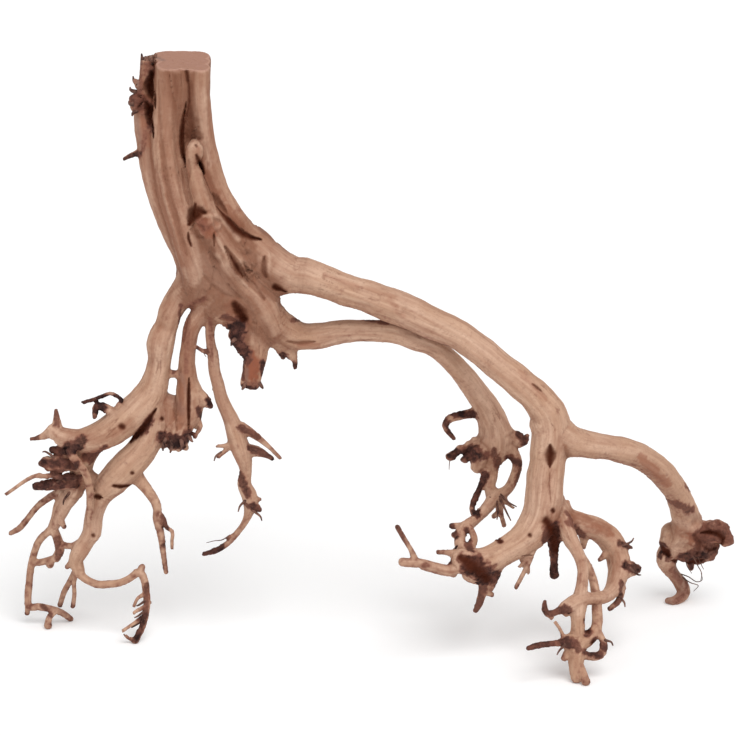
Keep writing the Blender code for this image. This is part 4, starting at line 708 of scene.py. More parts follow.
# points in pixels (a third number is the half width there), half width in mm, depth, darkness of
# the stain and the painted shade
GROOVES = {
    "stem groove": ([(184.5, 65, .8), (187, 74, 1.3), (190, 86, 2.0), (191, 100, 2.8),
                     (191.5, 112, 4.2), (192, 125, 5.6), (192, 137, 5.8)], 2, 3.4, 0.16),
    "groove heart": ([(185, 64.5, .8), (187, 74, 1.1), (189, 86, .9), (189.5, 102, 1.2),
                      (187, 114, 1.2), (184.5, 124, .9)], 1.1, 1.1, 0.72),
    "recess floor": ([(185.5, 134, 1.8), (192, 138, 2.3), (199, 138.5, 1.4)], 1.9, 1.8, 0.62),
    "left slit": ([(186.5, 102, .5), (184, 115, 1.1), (182.5, 128, 1.7), (182, 142, 1.8),
                   (183, 154, 1.3), (186, 164, .6)], 2, 3.6, 1.0),
    "knob hole": ([(195.8, 145.5), (196.6, 146.3)], 0.9, 1.2, 0.55),
    "knob pocket": ([(196.3, 155, .7), (198.5, 160, 1.6), (199.8, 165.5, 2.1), (202, 171, 1.5),
                     (204, 175, .7)], 2, 3.2, 1.0),
    "neck": ([(188.5, 160, 1.0), (189.5, 170, 1.4), (188.5, 182, .9)], 1.2, 0.9, 0.3),
    "long valley": ([(203, 174, 1.6), (207, 186, 2.6), (212, 197, 3.2), (219, 207, 3.2),
                     (226, 217, 3.0), (235, 228, 2.4), (247, 236, 1.6)], 3, 2.6, 0.2),
    "crest crease": ([(217, 207, .8), (222.5, 213.5, 1.7), (229, 221, 2.7), (235.5, 228.5, 3.1),
                      (243, 234, 2.6), (251, 237.5, 1.7), (261, 239.5, .7)], 2, 3.4, 0.95),
    "pocket": ([(195.5, 204.5, 1.2), (195.3, 209, 3.4), (194.5, 214, 4.3), (192, 219, 3.0),
                (189.5, 224, 1.2)], 3, 3.4, 1.0),
    "pocket right": ([(196, 210, 3.2), (200.5, 211, 2.7), (205, 213, 1.2)], 2, 2.8, 0.95),
    "pocket floor": ([(197, 210.5, 2.6), (198.5, 214.5, 2.8), (195.5, 218, 2.2)], 2, 2.2, 0.95),
    "knot lump": ([(205, 226), (206, 227)], 6.4, -2.2, 0.0),
    "knot crack": ([(188.2, 233, .5), (188.6, 239, .9), (191.3, 246, .5)], 1, 1.6, 0.75),
    "knot fold": ([(190, 227, .8), (195, 220, 1.5), (203, 216, 1.7), (213, 215, 1.5),
                   (221, 219, 1.0)], 1.6, -1.3, 0.0),
    "ridge below knot": ([(213, 230), (219, 240), (224, 252), (229, 265), (238, 277),
                          (248, 287)], 1.8, -1.3, 0.0),
    "ring fold": ([(240, 264), (241.5, 272), (248, 276.5), (254, 272), (253.5, 264), (248, 260)],
                  1.4, -1.1, 0.0),
    "ring heart": ([(246, 267), (248.5, 269)], 1.5, 1.1, 0.15),
    "ridge by branch": ([(269, 250), (269.5, 262), (269, 273), (273, 285)], 1.6, -1.0, 0.0),
    "collar wave": ([(203, 274), (213, 286), (224, 294), (238, 298)], 1.3, 0.9, 0.14),
    "stub ridge": ([(248, 296), (254, 312), (258, 330), (260, 345)], 2.0, -0.9, 0.0),
    "short crack": ([(214.2, 231), (214.3, 246)], 0.7, 1.1, 0.75),
    "knot heart": ([(198, 222), (203, 226), (205, 230)], 1.6, 1.1, 0.5),
    "collar groove": ([(225, 247, .8), (230, 255, 1.8), (235, 263, 2.8), (239.5, 271, 2.8),
                       (244, 277, 1.4)], 2, 3.0, 0.3),
    "collar run": ([(243, 276, 1.6), (253, 285.5, 1.8), (264, 299, 1.0)], 2, 1.6, 0.06),
    "collar heart": ([(230, 255, .6), (234.5, 263, 1.4), (238.5, 270, 1.4), (242, 276, .6)],
                     1.2, 1.4, 0.95),
    "collar swale": ([(206, 240, 2.0), (214, 258, 3.0), (224, 278, 3.0), (238, 296, 2.2)],
                     3, 1.5, 0.1),
    "round knob": ([(246, 268), (247, 269)], 2.6, -1.0, 0.0),
    "branch groove": ([(264.5, 257, .7), (263.3, 264, 1.5), (264, 271, 1.7), (266, 277, .8)],
                      1.6, 2.0, 0.5),
    "knot rim": ([(193.5, 222), (192.8, 229), (197, 235), (204, 237)], 1.8, 1.0, 0.3),
    "knot swirl": ([(197, 220), (203, 219), (208, 222.5), (209, 228)], 1.6, 0.9, 0.3),
    "armpit hole": ([(275, 286.5, 2.0), (279, 288.5, 1.9), (286, 291.5, .9)], 1.6, 2.6, 1.0),
    "stem flute a": ([(160, 130), (165, 178), (171, 205), (182, 250)], 2.2, 1.2, 0.14),
    "stem flute b": ([(158.7, 82), (159, 112), (162, 150)], 1.4, 0.8, 0.1),
    "stem flute c": ([(175, 76), (175, 120), (177, 160), (183, 205)], 2.0, 0.9, 0.1),
    "stem flute d": ([(175, 208), (179, 230), (187, 256)], 1.7, 1.1, 0.25),
    "stem flute e": ([(182, 168), (184, 190), (190, 206)], 1.5, 0.9, 0.2),
    "recess": ([(189.3, 102, 1.4), (190.3, 114, 3.2), (191.5, 126, 5.0), (192, 138, 5.6)],
               3, 1.4, 0.56),
    "collar hole": ([(235, 304, 2.2), (239.5, 310.5, 3.6), (244, 318, 2.8)], 2.7, 4.2, 1.0),
    "collar rim": ([(219, 318.5), (231, 319.5), (243, 320)], 1.6, 1.0, 0.35),
    "rot upper": ([(154, 61, 1.8), (154.3, 71, 2.7), (152.7, 80, 3.5), (150.5, 87, 4.3),
                   (152.5, 95, 2.6)], 3, 5.6, 1.0),
    "rot lower": ([(147, 104, 1.8), (150, 110, 3.4), (151.5, 118, 3.2), (153, 127, 1.9),
                   (153.5, 137, .8)], 3, 5.0, 1.0),
    "rot seam": ([(155, 90), (155.5, 108)], 1.8, 2.6, 0.8),
    "bark knob": ([(136, 99), (141, 104)], 5.4, -1.8, 0.0),
    "knob dents": ([(137, 93), (141, 99), (139, 107)], 1.6, 1.4, 0.5),
    "leg inner edge": ([(206, 297), (196, 301), (190, 312), (186, 326), (183, 344)], 1.6, 0.6, 0.4),
    "fork slot": ([(156, 409, .7), (148, 420, 2.2), (140, 430, 3.2), (131, 441, 1.4)], 3, 3.6, 1.0),
    "fork pit a": ([(121.8, 426.6), (122.6, 427)], 2.0, 1.6, 0.95),
    "fork pit b": ([(161.6, 418.6), (162.2, 419.2)], 1.3, 1.4, 0.8),
    "fork pit c": ([(131.9, 472.6), (132.5, 473.2)], 1.2, 1.2, 0.75),
    "knee pit": ([(93, 535), (93.5, 535.8)], 1.2, 1.1, 0.75),
    "knee hole": ([(94, 496), (102, 497.5)], 2.0, 2.4, 1.0),
    "fork low slot": ([(112, 485.5), (121, 486.5), (131, 485)], 1.7, 2.2, 0.95),
    "leg crack": ([(189, 378), (188.6, 404), (188.8, 430)], 1.05, 2.2, 1.0),
    "leg crack b": ([(176, 392), (175, 410), (177, 430)], 1.1, 1.0, 0.4),
    "branch knot": ([(399, 305), (400.5, 314)], 1.9, -0.9, 0.3),
    "branch pit": ([(532, 383.5), (537, 387.5), (542, 391.5)], 1.0, 0.9, 0.6),
    "lower groove": ([(286, 341), (300, 343), (315, 341.5)], 1.3, 1.1, 0.4),
    "leg diamond": ([(550, 445, .7), (550.6, 454, 3.6), (550.2, 460, 2.8), (550, 467, .6)],
                    2.2, 3.2, 1),
    "leg long crack": ([(550, 470), (549, 484), (551, 504)], 0.7, 0.8, 0.2),
    "leg hole": ([(552.4, 510), (553.2, 511.4)], 1.4, 1.4, 0.85),
    "leg pit": ([(529.6, 535), (530.2, 535.8)], 1.1, 1.2, 0.7),
    "leg notch": ([(494, 536), (500.5, 542)], 1.4, 1.4, 0.8),
    "leg line": ([(521, 556), (529, 555), (537, 556)], 0.7, 0.7, 0.6),
    "root pit": ([(546, 520, 2.4), (553, 533, 4.8), (557, 548, 4.4)], 3.2, 2.4, 0.9),
    "end pocket": ([(460, 557, 2.2), (469, 564, 4.8), (479, 570, 5.2), (488, 580, 2.8)],
                   2.4, 2.6, 0.95),
    "knot recess": ([(584, 619), (588.5, 634)], 2.0, 2.0, 0.8),
    "foot ring hole": ([(592.5, 642), (595.5, 650)], 1.9, 2.2, 1.0),
    "lobe hollow": ([(663, 546), (669, 556)], 3.0, 2.6, 0.8),
    "arm fold": ([(671, 560), (688, 562), (704, 559)], 1.8, 2.0, 0.9),
    "burl fold": ([(693, 533), (699, 543), (697, 554)], 1.8, 1.8, 0.5),
    "burl fold b": ([(701, 533, .8), (709, 532, 1.6), (718, 533.5, 2.0), (723, 538, 1.6),
                     (721, 546, .9)], 2, 2.8, 0.9),
    "burl fold c": ([(703, 546, .8), (709, 550, 1.3), (716, 548, .9)], 1.6, 1.8, 0.6),
    "burl fold d": ([(713, 520), (720, 526)], 1.2, 1.2, 0.4),
}
# places in pixels that are covered in lumps: across, down, reach, height in mm, cell in mm
LUMPY = [(206, 227, 20, 1.9, 3.2), (248, 262, 24, 1.3, 3.4), (222, 262, 18, 0.8, 4.0),
         (702, 543, 42, 2.0, 5.0), (676, 552, 26, 1.2, 4.0), (468, 452, 26, 1.4, 3.5),
         (514, 440, 16, 1.0, 3.0), (176, 440, 26, 1.3, 3.0), (138, 101, 20, 1.2, 3.0),
         (238, 338, 24, 1.0, 3.0), (476, 568, 30, 1.2, 4.0), (632, 566, 16, 1.0, 3.0),
         (590, 640, 22, 0.9, 3.5), (58, 460, 34, 1.2, 3.5), (252, 384, 16, 0.7, 2.5)]
print(len(GROOVES), "marks and", len(LUMPY), "lumpy places")

# %% [markdown]
# Each line is thrown onto the skin along the line of sight, which a search tree over the
# faces makes quick. The vertices near it then learn how far off the line they are.

# %% Throw lines from the eye onto the skin
toward_eye = unit(np.array(eye) - points)
faces_eye = ramp(-0.15, 0.25, (outward * toward_eye).sum(1))


def skin_tree():
    """A search tree over the skin as it is now."""
    return BVHTree.FromObject(wood, bpy.context.evaluated_depsgraph_get())


def thrown(line, tree, half=1.0):
    """Where a line of pixels meets the skin, step by step, and its half width there."""
    spots = []
    line = [(*point, half)[:3] for point in line]
    for (x0, y0, wide0), (x1, y1, wide1) in zip(line, line[1:]):
        steps = max(1, round(math.hypot(x1 - x0, y1 - y0)))
        for t in np.arange(steps + 1) / steps:
            seen = Vector(place((x0 + (x1 - x0) * t) * PIXEL, (y0 + (y1 - y0) * t) * PIXEL, 0))
            spot = tree.ray_cast(eye, (seen - eye).normalized())[0]
            if spot is not None:
                spots.append((*spot, (wide0 + (wide1 - wide0) * t) * MM))
    return np.array(spots)


def distance_to(spots, reach):
    """The vertices near: their numbers, and of the nearest spot how far off it is, its
    place in the line, and its half width."""
    low, high = spots[:, :3].min(0) - reach, spots[:, :3].max(0) + reach
    near = np.flatnonzero(((points > low) & (points < high)).all(1))
    square = ((points[near, None] - spots[:, :3]) ** 2).sum(2)
    nearest = square.argmin(1)
    return near, np.sqrt(square.min(1)), nearest / max(len(spots) - 1, 1), spots[nearest, 3]


print("vertices that face the eye:", int((faces_eye > 0.5).sum()), "of", count)

# %% [markdown]
# A mark presses the skin away from the eye along a soft profile, and a negative depth
# raises it. Old cracks are never clean lines, so noise frays their edges. A mark is painted
# dark at its heart, partly as the stain of old cracks and partly as painted shade in the pit,
# with a lighter painted shade around it.

# %% Press the marks into the skin
stain_and_pit_shade = np.zeros(count)
shade = np.zeros(count)
press = np.zeros((count, 3))
ragged = noise(points / (2.6 * MM) + 51.0) * 0.32 + noise(points / (1.3 * MM) + 57.0) * 0.2
ragged += along_grain(1.3, 9, 63.0) * 0.3
patchy = noise(points / (4.2 * MM) + 17.0) * 0.6 + noise(points / (1.9 * MM) + 27.0) * 0.4
tree = skin_tree()
missed = []
for name, (line, half, depth, dark) in GROOVES.items():
    spots = thrown(line, tree, half)
    if not len(spots):
        missed.append(name)
        continue
    widest = spots[:, 3].max()
    near, far, where, wide = distance_to(spots, widest * 2.4)
    if len(line[0]) == 2 and len(spots) > 6:
        wide = wide * (0.3 + 0.7 * np.sin(np.pi * where) ** 0.6)
    far = far / wide + ragged[near] * 0.3
    share = np.clip(1 - far**2, 0, 1) ** 1.3 * faces_eye[near]
    deeper = share * depth * np.sqrt(wide / widest) * MM
    if depth < 0:
        press[near] -= toward_eye[near] * deeper[:, None]
    else:
        keep = deeper > np.linalg.norm(press[near], axis=1)
        press[near[keep]] = -toward_eye[near[keep]] * deeper[keep, None]
    # the dark heart of a mark: partly the stain of an old crack, partly painted shade in the pit
    rough_far = far + patchy[near] * 0.3
    core = ramp(1.1, 0.1, rough_far) * faces_eye[near] * ramp(0.25, 0.9, dark)
    stain_and_pit_shade[near] = np.maximum(stain_and_pit_shade[near], core)
    # a wider painted shade around every dented mark
    halo = ramp(1.6, 0.2, far) * faces_eye[near] * min(1, dark * 0.85 + 0.12) * (depth > 0)
    shade[near] = np.maximum(shade[near], halo)
for across, down, reach, high, cell in LUMPY:
    spots = thrown([(across, down), (across + 1, down)], tree, reach * PIXEL)
    near, far, _, wide = distance_to(spots, reach * PIXEL * MM)
    knob = noise(points[near] / (cell * MM) + 43.0) + 0.25
    press[near] += outward[near] * (knob * high * ramp(1.0, 0.5, far / wide))[:, None] * MM
print(len(GROOVES), "marks pressed, missed:", missed)

# %% [markdown]
# The back has no marks of its own, so it dries open along the grain by chance, and the rifts
# get a dark heart and painted shade like the marks. At the top the left stem has rotted: its
# rim is ragged, and inside the rim it is hollow and painted dark, partly as rot and partly as
# painted shade.

# %% Rifts on the back and the rotten stem
RIFT_DEPTH = 1.7       # mm
HOLLOW_DEPTH = 7       # mm
behind = ramp(0.15, -0.4, (outward * toward_eye).sum(1))
rifts = ramp(0.075, 0.01, np.abs(along_grain(4.4, 46, 91.0)))
rifts *= ramp(0.05, 0.35, noise(points / (16 * MM) + 97.0)) * behind * np.clip(full, 0, 1)
press -= outward * rifts[:, None] * RIFT_DEPTH * MM
# the rifts get a dark heart and painted shade, like the marks
stain_and_pit_shade = np.maximum(stain_and_pit_shade, ramp(0.35, 0.95, rifts))
shade = np.maximum(shade, rifts * 0.8)
hollow = rotten * ramp(-0.7 * MM, -1.7 * MM, gap[:, 0])
worn = rotten * np.clip(1.6 + noise(points / (2.2 * MM) + 5.0) * 3.2, 0.2, 4.5) * MM
worn += hollow * HOLLOW_DEPTH * MM
points += press * free[:, None] - saw_normal * worn[:, None]
# the rotten hollow is painted dark: partly rot, partly painted shade inside it
stain_and_pit_shade = np.maximum(stain_and_pit_shade * free, hollow)
write_points(wood.data, points)
print("worn off the rotten stem, at most, in mm:", (worn.max() / MM).round(1))

# %% [markdown]
# The colour of old root wood is a map of what happened to it: pale where it weathered bare,
# purple-black where bark is left, rust red where it broke fresh, and grey on thin tips. Light
# and shade are painted in as well: brown painted shade in the grooves, valleys and hollows
# and on the undersides, and a painted highlight on crests. These are painted as soft masks
# on the vertices. Some follow from the form, such as valleys, thin tips and undersides, and
# the rest are patches with a place.

# %% Places of the patches
# a patch: the pixels it runs through, its radius in pixels, its strength
PATCHES = {
    # bark, and some patches of painted shade at joints and under the roots
    "bark_and_shade": [
        ([(700, 532), (716, 524), (730, 531), (733, 542)], 12, 0.52),
        ([(700, 545), (712, 548), (714, 558)], 10, 0.6), ([(691, 559), (691, 568)], 4, 0.9),
        ([(199, 222), (204, 228)], 8, 0.34), ([(248, 384), (258, 384)], 5, 0.4),
        ([(686, 578), (687, 592), (676, 602)], 4, 0.45),
        ([(46, 464), (60, 462), (76, 466)], 7, 0.85), ([(60, 476), (78, 478)], 6, 0.8),
        ([(204, 553), (222, 548)], 5, 1), ([(162, 505), (166, 530), (165, 545)], 5, 0.7),
        ([(148, 419), (138, 433)], 8, 1), ([(590, 620), (588, 634)], 5, 0.9),
        ([(594, 640), (606, 648)], 5, 0.8), ([(572, 640), (580, 650)], 5, 0.6),
        ([(244, 361), (243, 379)], 3, 0.7), ([(545, 530), (548, 560)], 6, 0.7),
        ([(494, 452), (500, 470)], 5, 0.6), ([(520, 470), (516, 484)], 4, 0.6),
        ([(664, 545), (660, 556)], 5, 0.8), ([(133, 96), (143, 106)], 11, 0.55),
        ([(470, 566), (480, 570), (490, 577)], 14, 1),
        ([(552, 527), (556, 545), (556, 574)], 10, 0.95), ([(684, 556), (704, 556)], 9, 0.8),
        ([(704, 541), (722, 534)], 10, 0.55), ([(672, 570), (680, 580)], 5, 0.4),
        ([(165, 437), (177, 443), (189, 437)], 9, 1),
        ([(83, 403), (102, 397), (119, 398)], 6, 0.95), ([(100, 400), (98, 416)], 8, 0.95),
        ([(60, 450), (82, 440)], 7, 0.7), ([(86, 456), (110, 449)], 6, 0.7),
        ([(232, 330), (236, 345)], 9, 1), ([(452, 412), (474, 415)], 6, 0.9),
        ([(455, 456), (478, 452)], 8, 0.9), ([(152, 66), (148, 88)], 9, 0.5),
        ([(151, 106), (153, 130)], 7, 0.6), ([(141, 64), (141, 90)], 3, 0.4),
        ([(132, 92), (134, 108)], 6, 0.45), ([(145, 132), (143, 150)], 3, 0.4),
        ([(139, 154), (123, 161)], 5, 0.75), ([(239, 326), (236, 340), (244, 356)], 10, 1),
        ([(263, 362), (262, 384)], 4, 0.9), ([(243, 386), (262, 390)], 3.4, 0.95),
        ([(246, 350), (243, 372)], 2.5, 0.5), ([(224, 317), (243, 320)], 5, 0.6),
        ([(283, 355), (296, 367)], 6, 0.8),
        ([(205, 298), (193, 303), (187, 318), (183, 340)], 4, 0.4),
        ([(181, 305), (177, 340), (174, 372)], 3, 0.55),
        ([(190, 318), (187, 345), (186, 372)], 3, 0.33), ([(205, 345), (207, 352)], 4, 0.6),
        ([(209, 400), (212, 408)], 5, 0.9), ([(198, 409), (201, 416)], 4, 0.8),
        ([(162, 438), (176, 443), (190, 434)], 8, 0.8), ([(166, 446), (184, 448)], 4, 0.8),
        ([(50, 449), (62, 452), (77, 447)], 7, 0.85), ([(56, 472), (75, 484)], 9, 0.7),
        ([(34, 484), (60, 485)], 9, 0.95), ([(39, 463), (50, 464)], 5, 0.8),
        ([(91, 462), (104, 447)], 5, 0.6), ([(36, 437), (24, 438)], 5, 0.6),
        ([(57, 425), (57, 409)], 4, 0.5), ([(74, 510), (66, 530)], 4, 0.45),
        ([(56, 540), (60, 558)], 6, 0.55), ([(43, 606), (50, 615)], 4, 0.6),
        ([(147, 585), (146, 610)], 4, 0.6), ([(144, 615), (136, 640)], 6, 0.85),
        ([(240, 476), (247, 494)], 6, 0.7), ([(252, 505), (261, 512)], 5, 0.8),
        ([(235, 530), (206, 554)], 4, 0.6), ([(240, 427), (258, 437)], 5, 0.7),
        ([(250, 448), (270, 456)], 5, 0.7), ([(238, 500), (248, 506)], 4, 0.6),
        ([(210, 318), (212, 360)], 2.5, 0.4), ([(292, 320), (340, 317), (388, 323)], 3.5, 0.55),
        ([(448, 412), (470, 415)], 6, 0.8), ([(445, 420), (452, 434)], 5, 0.9),
        ([(450, 456), (476, 448)], 6, 0.85), ([(470, 458), (484, 455)], 7, 0.75),
        ([(510, 458), (520, 464)], 6, 0.8), ([(519, 434), (528, 444)], 6, 0.9),
        ([(484, 475), (474, 500), (476, 514)], 6, 0.9), ([(466, 530), (470, 550)], 5, 0.75),
        ([(450, 525), (457, 537)], 4, 0.8), ([(494, 536), (501, 542)], 4, 0.7),
        ([(462, 556), (486, 578)], 6, 0.55), ([(440, 563), (450, 563)], 5, 0.75),
        ([(484, 585), (477, 610)], 6, 0.65), ([(408, 552), (398, 528)], 4, 0.6),
        ([(554, 550), (555, 576)], 4, 0.65), ([(570, 522), (582, 536)], 6, 0.6),
        ([(626, 566), (641, 570)], 7, 0.8), ([(620, 544), (633, 547)], 5, 0.7),
        ([(622, 585), (616, 610)], 5, 0.65), ([(560, 641), (572, 644)], 7, 0.85),
        ([(552, 644), (528, 648)], 6, 0.85), ([(568, 610), (545, 612), (544, 602)], 6, 0.75),
        ([(584, 652), (600, 655)], 5, 0.8), ([(670, 502), (690, 510)], 7, 0.6),
        ([(685, 485), (692, 492)], 4, 0.55), ([(676, 560), (702, 560)], 6, 0.7),
        ([(662, 545), (669, 556)], 6, 0.8), ([(704, 538), (732, 527)], 10, 0.62),
        ([(705, 552), (722, 550)], 8, 0.7), ([(566, 512), (572, 520)], 3, 0.6)],
    "rust": [
        ([(232, 306), (246, 318)], 10, 0.35), ([(135, 97), (144, 104)], 11, 0.6),
        ([(160, 418), (168, 400)], 6, 0.3), ([(251, 357), (253, 366), (252, 377)], 8, 0.95),
        ([(236, 312), (243, 318)], 5, 0.7), ([(197, 222), (205, 225), (209, 232)], 11, 0.65),
        ([(84, 458), (104, 448)], 7, 0.55), ([(165, 398), (170, 425)], 7, 0.3),
        ([(140, 98), (150, 101)], 6, 0.6), ([(143, 118), (148, 145)], 4, 0.4),
        ([(588, 529), (598, 530)], 6, 0.3), ([(640, 457), (668, 485)], 6, 0.6),
        ([(300, 346), (318, 345)], 4, 0.4), ([(149, 572), (150, 598)], 5, 0.5),
        ([(542, 556), (566, 560)], 6, 0.35), ([(584, 620), (590, 632)], 5, 0.5),
        ([(694, 534), (730, 538)], 13, 0.6), ([(325, 275), (358, 287)], 3, 0.3),
        ([(390, 300), (402, 316)], 4, 0.25), ([(520, 372), (545, 398)], 4, 0.3),
        ([(232, 447), (240, 470)], 4, 0.3), ([(605, 512), (613, 540)], 4, 0.25),
        ([(552, 470), (548, 510)], 4, 0.25), ([(120, 430), (96, 470)], 5, 0.2)],
    "ash": [
        ([(676, 572), (686, 590), (676, 602), (668, 603)], 7, 0.5),
        ([(141, 57), (150, 58)], 6, 0.8), ([(157, 58), (163, 60)], 4, 0.7),
        ([(138, 62), (139, 92)], 3, 0.7), ([(137, 120), (141, 150)], 4, 0.4),
        ([(56, 409), (40, 425)], 7, 0.4), ([(82, 400), (118, 396)], 8, 0.7),
        ([(247, 370), (246, 386)], 3, 0.5), ([(168, 392), (182, 410)], 7, 0.3),
        ([(272, 226), (262, 230)], 5, 0.4), ([(180, 372), (190, 400)], 3, 0.3),
        ([(690, 515), (725, 525)], 7, 0.3), ([(284, 353), (288, 358)], 3, 0.7)],
    "pale_and_highlight": [
        # the first patch here is a painted highlight on the burl
        ([(708, 525), (713, 525)], 3, 0.45), ([(208, 258), (216, 272), (228, 290)], 11, 0.7),
        ([(196, 262), (200, 284)], 7, 0.25), ([(188, 143), (201, 144)], 7, 0.6),
        ([(191, 155), (196, 172), (204, 195)], 4, 0.15),
        ([(214, 212), (228, 226), (238, 238)], 4, 0.6),
        ([(204, 90), (204, 130), (210, 165)], 4, 0.35), ([(246, 266), (247, 271)], 4, 0.45),
        ([(258, 258), (259, 285)], 3, 0.4), ([(215, 258), (225, 290)], 7, 0.25),
        ([(280, 268), (320, 272), (360, 284)], 5, 0.35),
        ([(400, 300), (470, 340), (530, 385)], 5, 0.35), ([(548, 410), (545, 450)], 7, 0.3),
        ([(565, 606), (580, 612)], 7, 0.7), ([(604, 655), (609, 659)], 4, 0.6),
        ([(674, 520), (696, 530)], 6, 0.5), ([(160, 350), (156, 390)], 6, 0.35),
        ([(500, 560), (535, 540)], 5, 0.35), ([(590, 447), (640, 452)], 5, 0.35),
        ([(100, 510), (92, 545)], 5, 0.25), ([(462, 368), (490, 405)], 6, 0.55),
        ([(146, 130), (150, 200), (168, 262)], 4, 0.35), ([(262, 318), (272, 335)], 5, 0.3),
        ([(590, 590), (575, 600)], 4, 0.3)],
    # tan, and some patches of painted shade in valleys, at joints and on the inner sides of roots
    "tan_and_shade": [
        ([(574, 517), (592, 521), (608, 531)], 9, 0.95),
        ([(208, 325), (212, 370), (225, 420)], 6, 0.6),
        ([(150, 150), (158, 190), (170, 230), (182, 262)], 10, 0.9),
        ([(48, 470), (76, 462)], 12, 0.7), ([(60, 480), (84, 486)], 10, 0.6),
        ([(142, 108), (144, 140), (148, 165)], 9, 0.85),
        ([(201, 160), (206, 176), (215, 192), (227, 210), (240, 226)], 9, 1),
        ([(182, 385), (180, 425)], 10, 1), ([(550, 520), (556, 570)], 13, 0.8),
        ([(680, 530), (720, 535)], 16, 0.8), ([(672, 568), (680, 598)], 9, 0.7),
        ([(246, 350), (250, 372), (252, 386)], 11, 0.8), ([(198, 221), (206, 232)], 15, 1),
        ([(190, 108), (191, 138)], 9, 0.6),
        ([(166, 75), (166, 140), (172, 200), (186, 262)], 13, 0.8),
        ([(190, 150), (186, 200), (196, 250)], 6, 0.45),
        ([(214, 180), (232, 212), (256, 232)], 8, 0.5),
        ([(192, 330), (186, 370), (186, 430)], 12, 0.85),
        ([(211, 320), (214, 370), (228, 420)], 5, 0.45), ([(186, 292), (174, 330)], 7, 0.35),
        ([(130, 425), (100, 440), (70, 432)], 8, 0.6),
        ([(140, 450), (110, 480), (96, 510)], 9, 0.12), ([(240, 460), (250, 500)], 6, 0.3),
        ([(238, 260), (262, 300)], 8, 0.3), ([(290, 345), (350, 345), (430, 352)], 4, 0.35),
        ([(300, 290), (380, 312)], 5, 0.25), ([(560, 440), (562, 500)], 6, 0.3),
        ([(620, 530), (616, 590)], 8, 0.3), ([(668, 480), (690, 515)], 10, 0.25),
        ([(700, 530), (716, 550)], 12, 0.6), ([(682, 565), (684, 600)], 5, 0.3),
        ([(85, 545), (92, 580)], 6, 0.4), ([(52, 555), (30, 600)], 5, 0.4),
        ([(575, 660), (580, 680)], 6, 0.3), ([(480, 520), (470, 545)], 6, 0.4)],
}
print({name: len(patches) for name, patches in PATCHES.items()})

# %% [markdown]
# Hollows are painted with shade and crests with a painted highlight. To find both, the skin
# is smoothed in thought: every vertex is averaged with its neighbours many times, and what
# then lies above a vertex tells how deep in a hollow it is. Round wood shrinks a little when
# it is smoothed, and that share is taken off again.

# %% Find the hollows and the crests
SMOOTHING = 30         # turns of averaging with the neighbours


def hollowness(points, turns):
    """How far each vertex lies below its smoothed surroundings, on round wood 0 on average."""
    ends = np.empty(len(wood.data.edges) * 2, int)
    wood.data.edges.foreach_get("vertices", ends)
    start, end = np.concatenate([ends.reshape(-1, 2), ends.reshape(-1, 2)[:, ::-1]]).T
    degree = np.bincount(start, minlength=count)[:, None]
    smooth = points.copy()
    for _ in range(turns):
        sums = [np.bincount(start, smooth[end, axis], count) for axis in range(3)]
        smooth = np.stack(sums, 1) / degree
    spread = SKIN_CELL**2 * turns / 2
    return ((smooth - points) * outward).sum(1) + spread / (2 * np.maximum(girth, 3 * MM))


below = hollowness(points, SMOOTHING) * ramp(2.2 * MM, 4.5 * MM, girth) * free / MM
print("hollows and crests in mm:", np.percentile(below, (1, 10, 50, 90, 99)).round(2))

# %% [markdown]
# A patch is thrown onto the skin as the marks were, and its edge is frayed in the same way.
# Bark goes round a root, so bark and rust are also thrown onto the far side of thin wood.

# %% Paint the patches
THROUGH = 40 * MM      # wood thicker than this keeps its far side as it is
SHARP_EDGE = (1.15, 0.45)
SOFT_EDGE = (1.35, 0.1)


def far_side(spots, tree):
    """Where the lines of sight through these spots leave the wood again, behind them."""
    leaving = []
    for *spot, half in spots:
        ahead = (Vector(spot) - eye).normalized()
        left = tree.ray_cast(Vector(spot) + ahead * THROUGH, -ahead, THROUGH * 0.98)[0]
        if left is not None:
            leaving.append((*left, half))
    return np.array(leaving).reshape(-1, 4)


tree = skin_tree()
masks = {name: np.zeros(count) for name in PATCHES}
for name, patches in PATCHES.items():
    for line, radius, strength in patches:
        spots = thrown(line, tree)
        if not len(spots):
            continue
        if name in ("bark_and_shade", "rust"):
            spots = np.vstack([spots, far_side(spots, tree)])
        near, far, _, _ = distance_to(spots, radius * PIXEL * 1.9 * MM)
        far = far / (radius * PIXEL * MM) + ragged[near] * 0.9 + patchy[near] * 0.35
        edge = SOFT_EDGE if name in ("tan_and_shade", "pale_and_highlight", "ash") else SHARP_EDGE
        masks[name][near] = np.maximum(masks[name][near], strength * ramp(*edge, far))
print("painted in patches:", {name: int((mask > 0.3).sum()) for name, mask in masks.items()})

# %% [markdown]
# The other masks follow from the form. Bark clings to thin tips, undersides get bark colour
# and tan, partly as bark and partly as painted shade, tips are bleached grey, veins of tan run
# along the grain, valleys and hollows get painted shade and crests a painted highlight, and
# the sawn rim is lighter than the rest.


# %% Paint what follows from the form
def paint(name, amount):
    """Raise a mask to this amount wherever it is lower."""
    masks[name] = np.maximum(masks.get(name, 0), amount)


thin = ramp(3.2 * MM, 1.1 * MM, girth)
lengths = np.array([frames[3][-1] for frames in run_frames])
reached = np.clip(grain[:, 0, 2] / lengths[owner[:, 0]], 0, 1)
tip = ramp(0.72, 1.0, reached) * ramp(2.4 * MM, 1.2 * MM, girth)
underside_shade = ramp(0.25, 0.95, -outward[:, 2])
low = ramp(150 * MM, 20 * MM, points[:, 2])
slim = ramp(4.0 * MM, 1.6 * MM, girth)
paint("ash", np.clip(thin * (0.1 + patchy * 0.35) + tip * 0.15, 0, 0.5))
paint("bark_and_shade", np.clip(tip * (0.45 + patchy * 0.6 + ragged), 0, 0.95))
paint("bark_and_shade", slim * np.clip(0.08 + patchy * 0.9 + ragged * 0.6, 0, 0.8))
